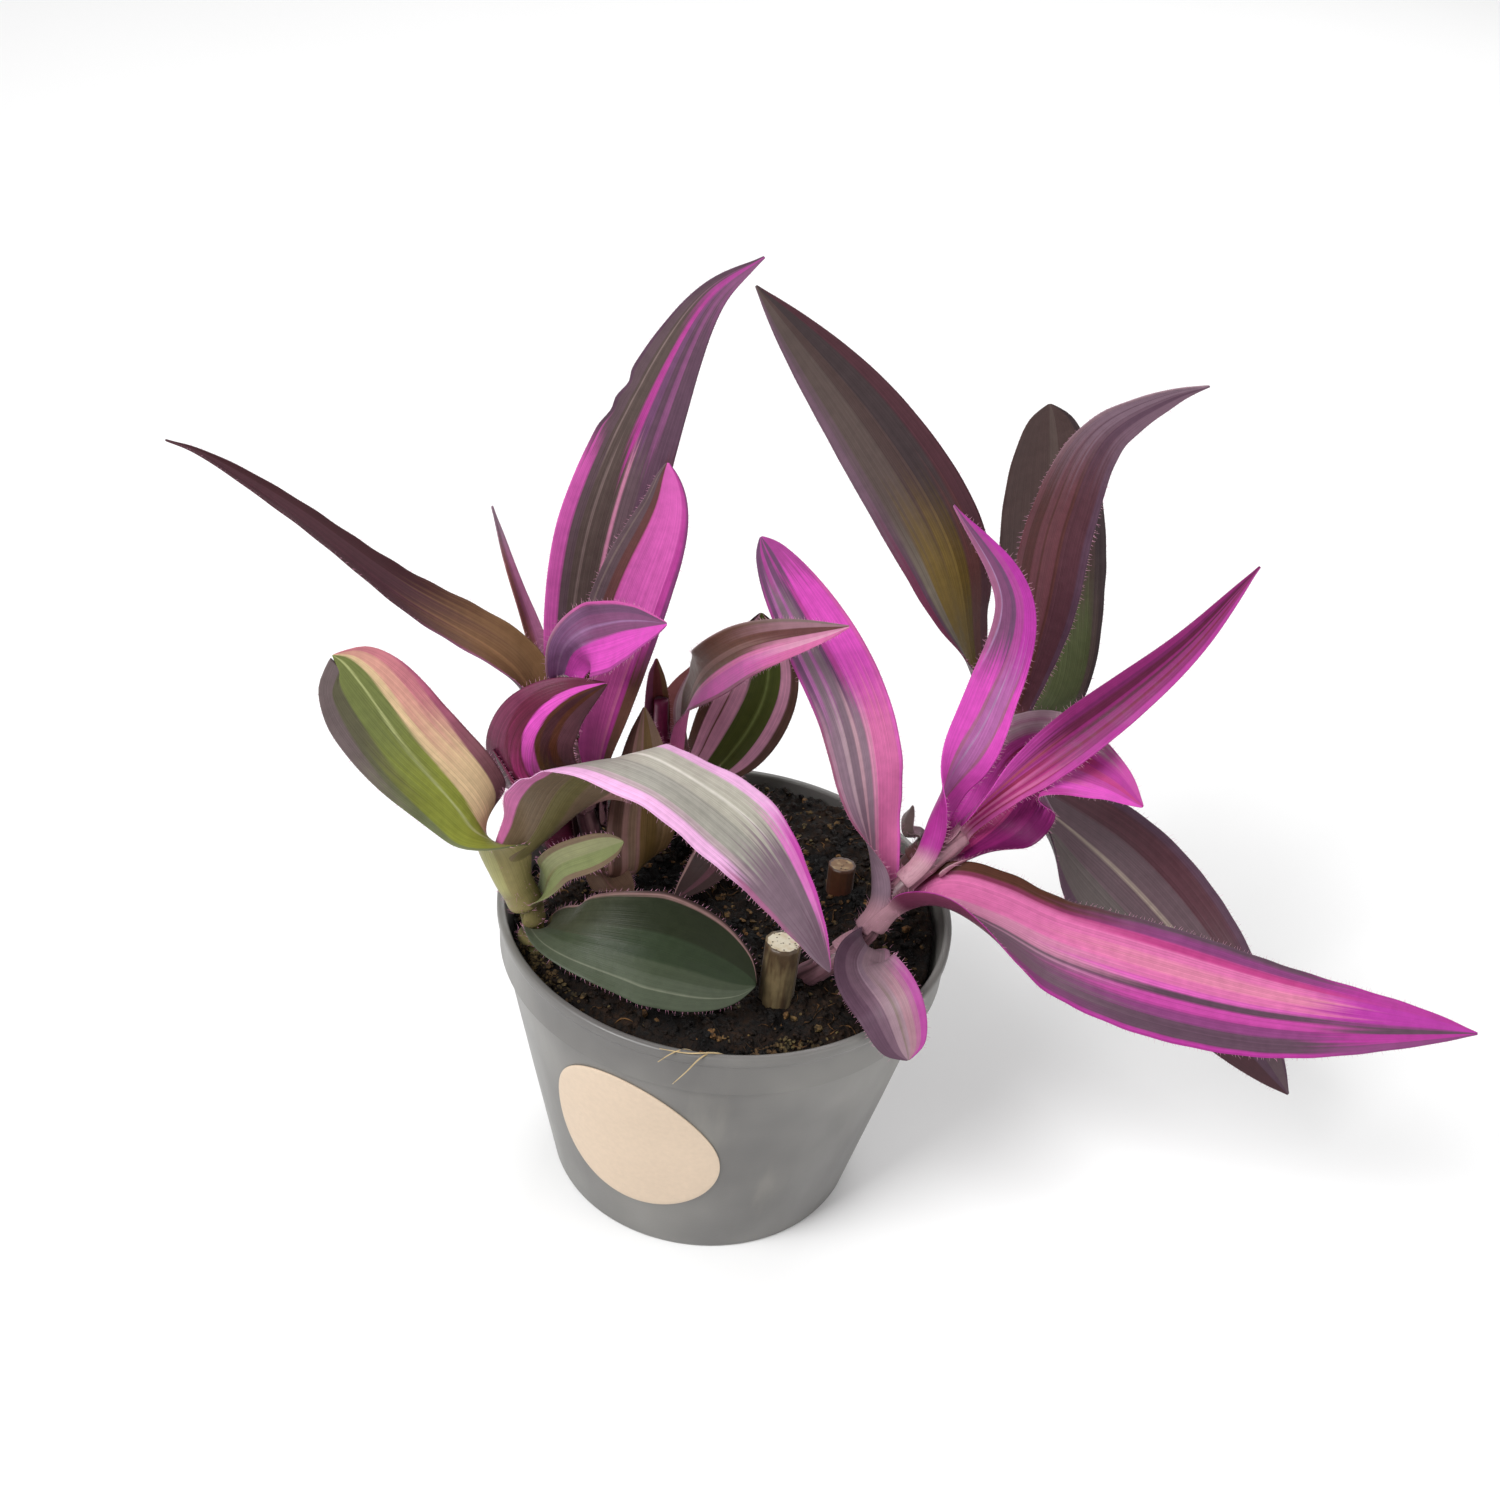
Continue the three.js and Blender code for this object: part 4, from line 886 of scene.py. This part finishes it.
growLeaf("right_leaf_5", {
    "stem": "right", "at": 35, "sheath": 6, "width": 32, "broad": 0.35, "swell": 4, "belly": 2.3, "cup": 22,
    "wave": 0.8, "out": (0.8, -0.4, -0.4),
    "through": [(54, -14, 106), (68, -17, 104), (86, -20, 98), (135, -26, 92), (190, -32, 97)],
    "face": [(0.1, -0.5, 0.85)],
    "foot": [(0, "umberDark"), (0.09, "wineRose"), (0.14, "rose"), (0.4, "softRose"), (0.55, "duskMauve"),
             (0.58, "dustyPink"), (0.61, "duskMauve"), (0.86, "duskMagenta"), (0.96, "magenta")],
    "tip": [(0, "duskPlum"), (0.05, "duskMagenta"), (0.13, "crimsonPink"), (0.19, "rose"),
            (0.27, "peachPink"), (0.38, "rose"), (0.46, "orchidPink"), (0.5, "duskPlum"),
            (0.57, "magentaRose"), (0.68, "duskMagenta"), (0.78, "duskPlum"), (0.95, "magenta")],
    "end": [(0, "magenta"), (0.2, "magentaBright"), (0.5, "duskMagenta"), (0.56, "duskPlum"),
            (0.68, "magenta"), (0.85, "duskMagenta")],
    "under": [(0, "plumMid"), (0.4, "wineMauve")],
    "fade": (0.25, 0.5), "endFade": (0.72, 0.84),
})
growLeaf("right_leaf_6", {
    "stem": "right", "at": 24, "sheath": 5, "width": 18, "broad": 0.6, "swell": 1.4, "blunt": 0.4,
    "cup": 24, "out": (-0.1, -1, 0), "through": [(36, -28, 94), (43, -42, 94), (49, -50, 84)],
    "face": [(-0.2, -0.6, 0.75)],
    "foot": [(0, "dustyPink"), (0.1, "greyRose"), (0.5, "mauveGrey"), (0.6, "duskMauve"),
             (0.8, "duskPlum")],
    "tip": [(0, "orchidDeep"), (0.13, "orchidDusk"), (0.22, "dullRose"), (0.36, "greyRose"),
            (0.42, "taupeLine"), (0.47, "greyRose"), (0.6, "duskMauve"), (0.75, "duskPlum")],
    "under": [(0, "duskMauve")],
    "fade": (0.45, 0.7),
})
growLeaf("rear_leaf_1", {
    "stem": "rear", "at": 61, "sheath": 6, "width": 26, "cup": 24, "out": (-0.8, 0.4, 0.3),
    "through": [(59, 48, 136), (46, 52, 170), (24, 56, 200), (-9, 60, 234)], "face": [(0, -0.85, 0.5)],
    "foot": [(0, "wineMauve"), (0.09, "duskPlum"), (0.15, "khakiTaupe"), (0.26, "oliveGold"),
             (0.6, "oliveDark"), (0.72, "umberRed"), (0.86, "plumDark")],
    "tip": [(0, "duskMauve"), (0.1, "taupeMauve"), (0.18, "taupe"), (0.45, "taupeBrown"),
            (0.6, "taupeNight"), (0.82, "plumDark")],
    "under": [(0, "plumMid")],
    "fade": (0.34, 0.6),
})
growLeaf("rear_leaf_2", {
    "stem": "rear", "at": 68, "sheath": 6, "width": 19, "broad": 0.45, "cup": 40, "out": (0.2, 0.9, 0),
    "through": [(73, 40, 159), (73, 36, 192), (78, 30, 219), (91, 25, 233), (99, 22, 238)],
    "foot": [(0, "roseBrown"), (0.1, "umberRed"), (0.25, "roseBrown"), (0.34, "umberRed"),
             (0.37, "roseBrown"), (0.55, "umberRed"), (0.6, "plumMid"), (0.9, "duskPlum")],
    "tip": [(0, "greyRose"), (0.1, "mauveGrey"), (0.3, "duskMauve"), (0.34, "mauveGrey"),
            (0.5, "duskMauve"), (0.6, "duskPlum"), (0.75, "duskMauve")],
    "under": [(0, "plumMid")],
    "fade": (0.6, 0.85),
})
growLeaf("rear_leaf_3", {
    "stem": "rear", "at": 54, "sheath": 6, "width": 30, "wrap": 1, "broad": 0.6, "swell": 1.2, "blunt": 0.5,
    "cup": 24, "out": (0.3, 0.9, -0.2), "through": [(81, 56, 127), (76, 62, 165), (69, 68, 207)],
    "face": [(0.1, -0.9, 0.4)],
    "foot": [(0, "greenKhaki"), (0.3, "moss"), (0.5, "greenKhaki"), (0.52, "moss"), (0.9, "taupe"),
             (0.96, "taupeNight")],
    "tip": [(0, "taupeBrown"), (0.5, "taupe"), (0.6, "taupeBrown"), (0.9, "taupeNight")],
    "under": [(0, "taupeBrown")],
    "fade": (0.4, 0.65),
})
growLeaf("rear_leaf_4", {
    "stem": "rear", "at": 42, "sheath": 6, "width": 38, "broad": 0.4, "swell": 2.6, "cup": 20,
    "out": (0.8, -0.2, -0.4), "through": [(72, 30, 110), (96, 25, 96), (131, 20, 65), (165, 14, 27)],
    "face": [(0.1, -0.8, 0.55)],
    "foot": [(0, "duskPlum"), (0.06, "plumMid"), (0.24, "taupeMauve"), (0.42, "paleTaupe"),
             (0.45, "taupeMauve"), (0.6, "taupeGrey"), (0.85, "duskPlum")],
    "tip": [(0, "duskPlum"), (0.1, "taupeMauve"), (0.45, "duskPlum"), (0.65, "plumDark")],
    "under": [(0, "taupeMauve")],
    "fade": (0.55, 0.8),
})
growLeaf("rear_leaf_5", {
    "stem": "rear", "at": 27, "sheath": 4, "width": 9, "cup": 40, "out": (-1, 0, 0.3),
    "through": [(46, 24, 97), (47, 24, 107)],
    "foot": [(0, "taupeLine"), (0.5, "greyRose")],
    "tip": [(0, "greyRose"), (0.5, "dullRose")],
    "under": [(0, "taupeLine")],
})
print("stage: leaves")

# Cut stems left in the soil

stumps = {
    "cut_stem_1": {"points": [(15, -27, 66), (15.3, -26.4, 85), (15.6, -25.6, 97)], "radius": 4.5,
                   "bark": "stumpBark", "ridge": "stumpRidge", "face": "cutPale"},
    "cut_stem_2": {"points": [(30, 15, 66), (30, 16, 82), (30, 17, 90)], "radius": 3.6,
                   "bark": "stumpRed", "ridge": "umberDark", "face": "cutBrown"},
}


stumpForm = {"sides": 44, "rows": 24, "ribs": 11, "ribDepth": 0.025, "spread": 0.02, "cutRim": 0.6,
             "cutDepth": 0.15}
cutFinish = {"roughness": 0.55, "specular": 0.35, "pores": 900.0, "clouds": 500.0, "bump": 0.5,
             "bumpDepth": 0.0004}


def cutFaceSkin(name, colour):
    # pale pith with fine dark pores
    look = cutFinish
    skin, tree, shader = newSkin(name, look["roughness"], look["specular"])
    place = readCoords(tree)
    pores = addNode(tree, "ShaderNodeTexVoronoi", Scale=look["pores"])
    tree.links.new(place, pores.inputs["Vector"])
    dot = stretchRange(tree, pores.outputs["Distance"], 0.12, 0.3, 0.0, 1.0, True)
    cloud = stretchRange(tree, grain(tree, place, look["clouds"]), 0.45, 0.7, 0, 0.6)
    pith = blendColours(tree, cloud, tint(colour), tint("straw"))
    feed(tree, shader, Base_Color=blendColours(tree, dot, tint("cutDark"), pith))
    addBump(tree, shader, dot, look["bump"], look["bumpDepth"])
    return skin


def growStump(name, stump):
    def radiusAt(k, turn, length):
        ribs = stumpForm["ribDepth"] * math.cos(stumpForm["ribs"] * turn)
        return stump["radius"] * (1 + ribs + stumpForm["spread"] * k)

    bm = bmesh.new()
    tube(bm, stump["points"], radiusAt, stumpForm["sides"], stumpForm["rows"])
    # the two ends are the only faces with so many corners
    caps = [f for f in bm.faces if len(f.verts) > 10]
    bmesh.ops.inset_region(bm, faces=caps, thickness=stumpForm["cutRim"] * mm,
                           depth=-stumpForm["cutDepth"] * mm)
    for face in caps:
        face.material_index = 1
    skins = [stemSkin(name + "_bark", stump["bark"], stump["ridge"]),
             cutFaceSkin(name + "_cut", stump["face"])]
    rideRoot(finishPiece(name + "_body", bm, skins), slotOf[name], name)


for stumpName, stump in stumps.items():
    growStump(stumpName, stump)
print("stage: cut stems")

# Pot

pot = {"height": 87, "rimRadius": 60, "baseRadius": 42, "wall": 2, "floorThick": 3, "collarHeight": 13.5,
       "collarStep": 1.2, "drainHoles": 6, "drainRadius": 3, "drainCircle": 27, "drillDepth": 12,
       "steps": 144}
potFinish = {"roughness": 0.42, "specular": 0.5, "clouds": 22.0, "specks": 1500.0, "scuffs": 60.0,
             "scuffStretch": (1, 1, 0.15), "scuffShare": 0.18, "gloss": (0.34, 0.5), "bump": 0.12,
             "bumpDepth": 0.0002}
collarFoot = pot["height"] - pot["collarHeight"]
shoulder = pot["rimRadius"] - pot["collarStep"] - 1


def innerRadius(z):
    # of the wall below the collar
    return mix(pot["baseRadius"], shoulder, z / collarFoot) - pot["wall"]


def potSkin():
    # two greys in soft clouds, with paler scuffs that run down the wall
    look = potFinish
    skin, tree, shader = newSkin("pot_plastic", look["roughness"], look["specular"])
    place = readCoords(tree)
    cloud = stretchRange(tree, grain(tree, place, look["clouds"]), 0.35, 0.65, 0, 1)
    specks = grain(tree, place, look["specks"], 2.0)
    scuffs = grain(tree, place, look["scuffs"], 6.0, look["scuffStretch"])
    base = blendColours(tree, cloud, tint("potGrey"), tint("potDark"))
    pale = stretchRange(tree, scuffs, 0.62, 0.78, 0.0, look["scuffShare"], True)
    feed(tree, shader, Base_Color=blendColours(tree, pale, base, tint("silver")),
         Roughness=stretchRange(tree, scuffs, 0.3, 0.7, *look["gloss"]))
    addBump(tree, shader, specks, look["bump"], look["bumpDepth"])
    return skin


def makePot():
    height, rim, wall, foot = pot["height"], pot["rimRadius"], pot["wall"], pot["baseRadius"]
    collar, floorTop = shoulder + pot["collarStep"], pot["floorThick"]
    # radius and height: from the base's middle round the foot, up to the collar, over the lip and back in
    outline = [
        (0, 0.8), (36, 0.8), (37.5, 0), (foot - 1, 0), (foot - 0.3, 0.3), (foot, 1),
        (mix(foot, shoulder, 0.5), collarFoot / 2), (shoulder, collarFoot),
        (shoulder + 0.5, collarFoot + 0.25), (collar, collarFoot + 0.8),
        (rim - 0.75, height - 4), (rim - 0.6, height - 3), (rim - 0.15, height - 2.7), (rim, height - 2.3),
        (rim, height - 0.7), (rim - 0.25, height - 0.2), (rim - 0.7, height), (rim - 1.6, height),
        (rim - 2.05, height - 0.2), (rim - 2.2, height - 0.7), (collar - wall, collarFoot + 2.5),
        (shoulder - wall, collarFoot), (innerRadius(floorTop), floorTop), (0, floorTop),
    ]
    bm = bmesh.new()
    run = [bm.verts.new((r * mm, 0, z * mm)) for r, z in outline]
    edges = [bm.edges.new(pair) for pair in zip(run, run[1:])]
    bmesh.ops.spin(bm, geom=run + edges, cent=(0, 0, 0), axis=(0, 0, 1), angle=2 * math.pi,
                   steps=pot["steps"], use_merge=True)
    bmesh.ops.remove_doubles(bm, verts=bm.verts[:], dist=1e-6)
    bmesh.ops.recalc_face_normals(bm, faces=bm.faces[:])
    shell = finishPiece("pot_shell", bm, [potSkin()])
    drill = bmesh.new()
    for k in range(pot["drainHoles"]):
        angle = 2 * math.pi * (k + 0.5) / pot["drainHoles"]
        spot = Vector((pot["drainCircle"] * math.cos(angle), pot["drainCircle"] * math.sin(angle), 2)) * mm
        bmesh.ops.create_cone(drill, cap_ends=True, segments=28, radius1=pot["drainRadius"] * mm,
                              radius2=pot["drainRadius"] * mm, depth=pot["drillDepth"] * mm,
                              matrix=Matrix.Translation(spot))
    cutter = finishPiece("drain_cutter", drill, [])
    cut = shell.modifiers.new("drain", "BOOLEAN")
    cut.operation = "DIFFERENCE"
    cut.solver = "EXACT"
    cut.object = cutter
    bakeModifiers(shell)
    bpy.data.objects.remove(cutter)
    shell.data.set_sharp_from_angle(angle=math.radians(50))
    rideRoot(shell, slotOf["pot"], "pot")


makePot()
print("stage: pot")

# Blank label
# lobes: size, turns and start in radians of each wave in its outline

label = {"azimuth": -21, "height": 43.5, "radius": 25, "lobes": [(1.6, 2, 1.31), (0.8, 3, -1.92)],
         "thick": 0.45, "fit": 0.05, "rounding": 0.12, "cells": 40}
labelFinish = {"roughness": 0.5, "specular": 0.4, "fibres": 700.0, "clouds": 40.0, "bump": 0.15,
               "bumpDepth": 0.0002}


def labelSkin():
    look = labelFinish
    skin, tree, shader = newSkin("label_film", look["roughness"], look["specular"])
    place = readCoords(tree)
    fibres = grain(tree, place, look["fibres"], 5.0)
    cloud = grain(tree, place, look["clouds"], 2.0)
    shade = calc(tree, "MULTIPLY", stretchRange(tree, fibres, 0.3, 0.7, 0.96, 1.03),
                 stretchRange(tree, cloud, 0.3, 0.7, 0.97, 1.03))
    feed(tree, shader, Base_Color=blendColours(tree, 1.0, tint("labelCream"), shade, "MULTIPLY"))
    addBump(tree, shader, fibres, look["bump"], look["bumpDepth"])
    return skin


def discSpot(x, y):
    # a square's point (-1 to 1) moved to the matching point of a disc: its reach and its angle
    reach = max(abs(x), abs(y))
    if reach < 1e-9:
        return 0.0, 0.0
    if abs(x) >= abs(y):
        angle = math.pi / 4 * y / abs(x) if x > 0 else math.pi - math.pi / 4 * y / abs(x)
    else:
        angle = math.pi / 2 - math.pi / 4 * x / abs(y) if y > 0 else -math.pi / 2 + math.pi / 4 * x / abs(y)
    return reach, angle


def makeLabel():
    bm = bmesh.new()
    made = bmesh.ops.create_grid(bm, x_segments=label["cells"], y_segments=label["cells"], size=1.0)
    for v in made["verts"]:
        reach, a = discSpot(v.co.x, v.co.y)
        lobes = sum(size * math.cos(turns * (a + shift)) for size, turns, shift in label["lobes"])
        far = (label["radius"] + lobes) * reach
        z = label["height"] + far * math.sin(a)
        wallRadius = mix(pot["baseRadius"], shoulder, z / collarFoot)
        r = wallRadius + label["fit"] + label["thick"]
        angle = math.radians(label["azimuth"] - 90) + far * math.cos(a) / wallRadius
        v.co = Vector((r * math.cos(angle), r * math.sin(angle), z)) * mm
    bmesh.ops.recalc_face_normals(bm, faces=bm.faces[:])
    if sum((f.normal for f in bm.faces), Vector()).y > 0:  # its face looks at the viewer
        bmesh.ops.reverse_faces(bm, faces=bm.faces[:])
    sheet = finishPiece("label_film", bm, [labelSkin()])
    wall = sheet.modifiers.new("wall", "SOLIDIFY")
    wall.thickness = label["thick"] * mm
    wall.offset = -1
    rounding = sheet.modifiers.new("rounding", "BEVEL")
    rounding.width = label["rounding"] * mm
    rounding.segments = 2
    rounding.limit_method = "ANGLE"
    rideRoot(sheet, slotOf["label"], "label")


makeLabel()
print("stage: label")

# Compost
# mossPatches: direction and its spread in degrees, and the nearest and farthest part of the way out

compost = {"top": 79, "wallGap": 0.3, "segments": 150, "lumps": 0.8, "rough": 1.4, "bank": 6.5,
           "grains": 2600, "grainSize": (0.4, 1.35),
           "fibres": 420, "fibreLength": (2.0, 6.5), "fibreRadius": (0.09, 0.24),
           "moss": 420, "mossSize": (0.25, 0.8),
           "mossPatches": [(207, 11, 0.88, 0.985), (291, 7, 0.86, 0.98)]}
compostFinish = {"specular": 0.22, "clods": 90.0, "crumbs": 700.0, "crumbShade": (0.25, 1.6), "bump": 1.0,
                 "bumpDepth": 0.0015}
soilRadius = innerRadius(compost["top"] - 6) - compost["wallGap"]


def soilHeight(x, y):
    # lumpy in the middle, a little lower by the wall and banked up towards the rim at the back
    lumps = math.sin(0.31 * x + 1.7) * math.cos(0.27 * y - 0.6) + 0.6 * math.sin(0.63 * x - 0.5 * y)
    rough = noise.fractal(Vector((x, y, 3.0)) * 0.35, 0.9, 2.1, 4)
    edge = math.hypot(x, y) / soilRadius
    bank = ease(0.1, 0.85, (0.4 * x + 0.92 * y) / soilRadius)
    level = mix(compost["top"] + compost["lumps"] * lumps, compost["top"] - 1, ease(0.85, 1, edge))
    return mix(level, compost["top"] + compost["bank"], bank) + compost["rough"] * rough


def soilSkin(name, dark, light, roughness):
    look = compostFinish
    skin, tree, shader = newSkin(name, roughness, look["specular"])
    place = readCoords(tree)
    clods = stretchRange(tree, grain(tree, place, look["clods"], 6.0), 0.4, 0.62, 0, 1)
    crumbs = grain(tree, place, look["crumbs"], 5.0)
    base = blendColours(tree, clods, tint(dark), tint(light))
    shade = stretchRange(tree, crumbs, 0.38, 0.62, *look["crumbShade"])
    feed(tree, shader, Base_Color=blendColours(tree, 1.0, base, shade, "MULTIPLY"),
         Roughness=stretchRange(tree, crumbs, 0.35, 0.65, roughness - 0.15, roughness + 0.2))
    addBump(tree, shader, crumbs, look["bump"], look["bumpDepth"])
    return skin


def makeCompost():
    bm = bmesh.new()
    made = bmesh.ops.create_grid(bm, x_segments=compost["segments"], y_segments=compost["segments"],
                                 size=1.0)
    for v in made["verts"]:
        reach, a = discSpot(v.co.x, v.co.y)
        x, y = soilRadius * reach * math.cos(a), soilRadius * reach * math.sin(a)
        v.co = Vector((x, y, soilHeight(x, y))) * mm
    rim = [e for e in bm.edges if e.is_boundary]
    low = bmesh.ops.extrude_edge_only(bm, edges=rim)
    floorZ = pot["floorThick"] + compost["wallGap"]
    shrink = (innerRadius(pot["floorThick"]) - compost["wallGap"]) / soilRadius
    for v in [item for item in low["geom"] if isinstance(item, bmesh.types.BMVert)]:
        v.co = Vector((v.co.x * shrink, v.co.y * shrink, floorZ * mm))
    bmesh.ops.contextual_create(bm, geom=[e for e in bm.edges if e.is_boundary])
    bmesh.ops.recalc_face_normals(bm, faces=bm.faces[:])
    rideRoot(finishPiece("compost_bed", bm, [soilSkin("compost", "peat", "bark", 0.75)]), slotOf["soil"],
             "soil")


def scatterSpot(pick, reach=0.97):
    # a place anywhere on the compost, up to this part of the way to its edge
    far = soilRadius * reach * math.sqrt(pick.random())
    a = pick.uniform(-math.pi, math.pi)
    return far * math.cos(a), far * math.sin(a)


def addCrumb(bm, pick, x, y, size, sink=0.2):
    turn = Matrix.Rotation(pick.uniform(0, 6.28), 4, "Z") @ Matrix.Rotation(pick.uniform(-0.9, 0.9), 4, "X")
    shape = Matrix.Diagonal((size * pick.uniform(0.7, 1.3), size * pick.uniform(0.6, 1.1),
                             size * pick.uniform(0.4, 0.8), 1))
    spot = Matrix.Translation(Vector((x, y, soilHeight(x, y) + size * sink)) * mm)
    made = bmesh.ops.create_icosphere(bm, subdivisions=1, radius=mm, matrix=spot @ turn @ shape)
    for v in made["verts"]:
        v.co += Vector((pick.uniform(-1, 1), pick.uniform(-1, 1), pick.uniform(-1, 1))) * size * 0.16 * mm


def scatterGrains():
    # dark grains of peat and bark, and brown grains whose paler colour is partly a painted highlight of lit
    # crumbs; fewer of the brown ones at the front
    pick = random.Random(11)
    low, high = compost["grainSize"]
    for name, dark, light, share in (("dark_grains", "peat", "bark", 0.7),
                                     ("brown_and_highlit_grains", "fibre", "mossAndHighlight", 0.3)):
        bm = bmesh.new()
        for k in range(int(compost["grains"] * share)):
            x, y = scatterSpot(pick)
            if share < 0.5 and y < -10 and pick.random() < 0.6:
                continue
            addCrumb(bm, pick, x, y, mix(low, high, pick.random() ** 2))
        rideRoot(finishPiece(name, bm, [soilSkin(name + "_skin", dark, light, 0.6)], False), slotOf["soil"])


def scatterFibres():
    # thin brown threads lying on the compost, most of them at the back and right
    pick = random.Random(23)
    bm = bmesh.new()
    for k in range(compost["fibres"]):
        x, y = scatterSpot(pick, 0.94)
        if y < 0 and x < 30 and pick.random() < 0.7:
            continue
        a = pick.uniform(0, 6.28)
        size = pick.uniform(*compost["fibreLength"])
        points = []
        for j in range(4):
            px = x + math.cos(a) * size * j / 3
            py = y + math.sin(a) * size * j / 3
            if math.hypot(px, py) > soilRadius * 0.97:
                break
            points.append((px, py, soilHeight(px, py) + pick.uniform(0.1, 0.7)))
            a += pick.uniform(-0.5, 0.5)
        if len(points) < 4:
            continue
        tubeStrand(bm, points, pick.uniform(*compost["fibreRadius"]), 4, 5)
    rideRoot(finishPiece("compost_fibres", bm, [soilSkin("fibre_skin", "bark", "fibre", 0.7)]),
             slotOf["soil"])


def tubeStrand(bm, points, radius, sides, rows):
    # one thread in its own bmesh, then joined to the others
    strand = bmesh.new()
    tube(strand, points, lambda k, turn, length: radius * (1 - 0.6 * abs(2 * k - 1) ** 2), sides, rows)
    holder = bpy.data.meshes.new("strand")
    strand.to_mesh(holder)
    strand.free()
    bm.from_mesh(holder)
    bpy.data.meshes.remove(holder)


def scatterMoss():
    # yellow green crumbs by the left rim and the front right rim
    pick = random.Random(31)
    bm = bmesh.new()
    for k in range(compost["moss"]):
        aim, spread, nearest, farthest = compost["mossPatches"][0 if k % 5 < 3 else 1]
        a = math.radians(pick.gauss(aim, spread))
        far = soilRadius * pick.uniform(nearest, farthest)
        addCrumb(bm, pick, far * math.cos(a), far * math.sin(a), pick.uniform(*compost["mossSize"]), 0.5)
    rideRoot(finishPiece("moss_crumbs", bm, [soilSkin("moss_skin", "stumpBark", "mossAndHighlight", 0.8)], False),
             slotOf["soil"])


makeCompost()
scatterGrains()
scatterFibres()
scatterMoss()
print("stage: compost")

# Thin roots over the front rim

roots = {
    "root_1": [(2, -54, 82), (0, -58, 86.6), (-2, -60.6, 87.2), (-5, -61.4, 83), (-8, -60.8, 78)],
    "root_2": [(-2, -53, 81), (-6, -57, 86.2), (-9, -60.1, 87.3), (-12, -60.6, 84.6)],
    "root_3": [(6, -54, 81.5), (2, -58, 87.1), (-5, -59.6, 87.6), (-12, -59.0, 87.5)],
}
rootForm = {"thickEnd": 0.28, "thinEnd": 0.1, "sides": 8, "rows": 28}
for rootName, points in roots.items():
    bm = bmesh.new()
    tube(bm, points, lambda k, turn, length: mix(rootForm["thickEnd"], rootForm["thinEnd"], k),
         rootForm["sides"], rootForm["rows"])
    rideRoot(finishPiece(rootName, bm, [hairSkin(rootName + "_skin", "straw")]), slotOf["soil"])
print("stage: roots")
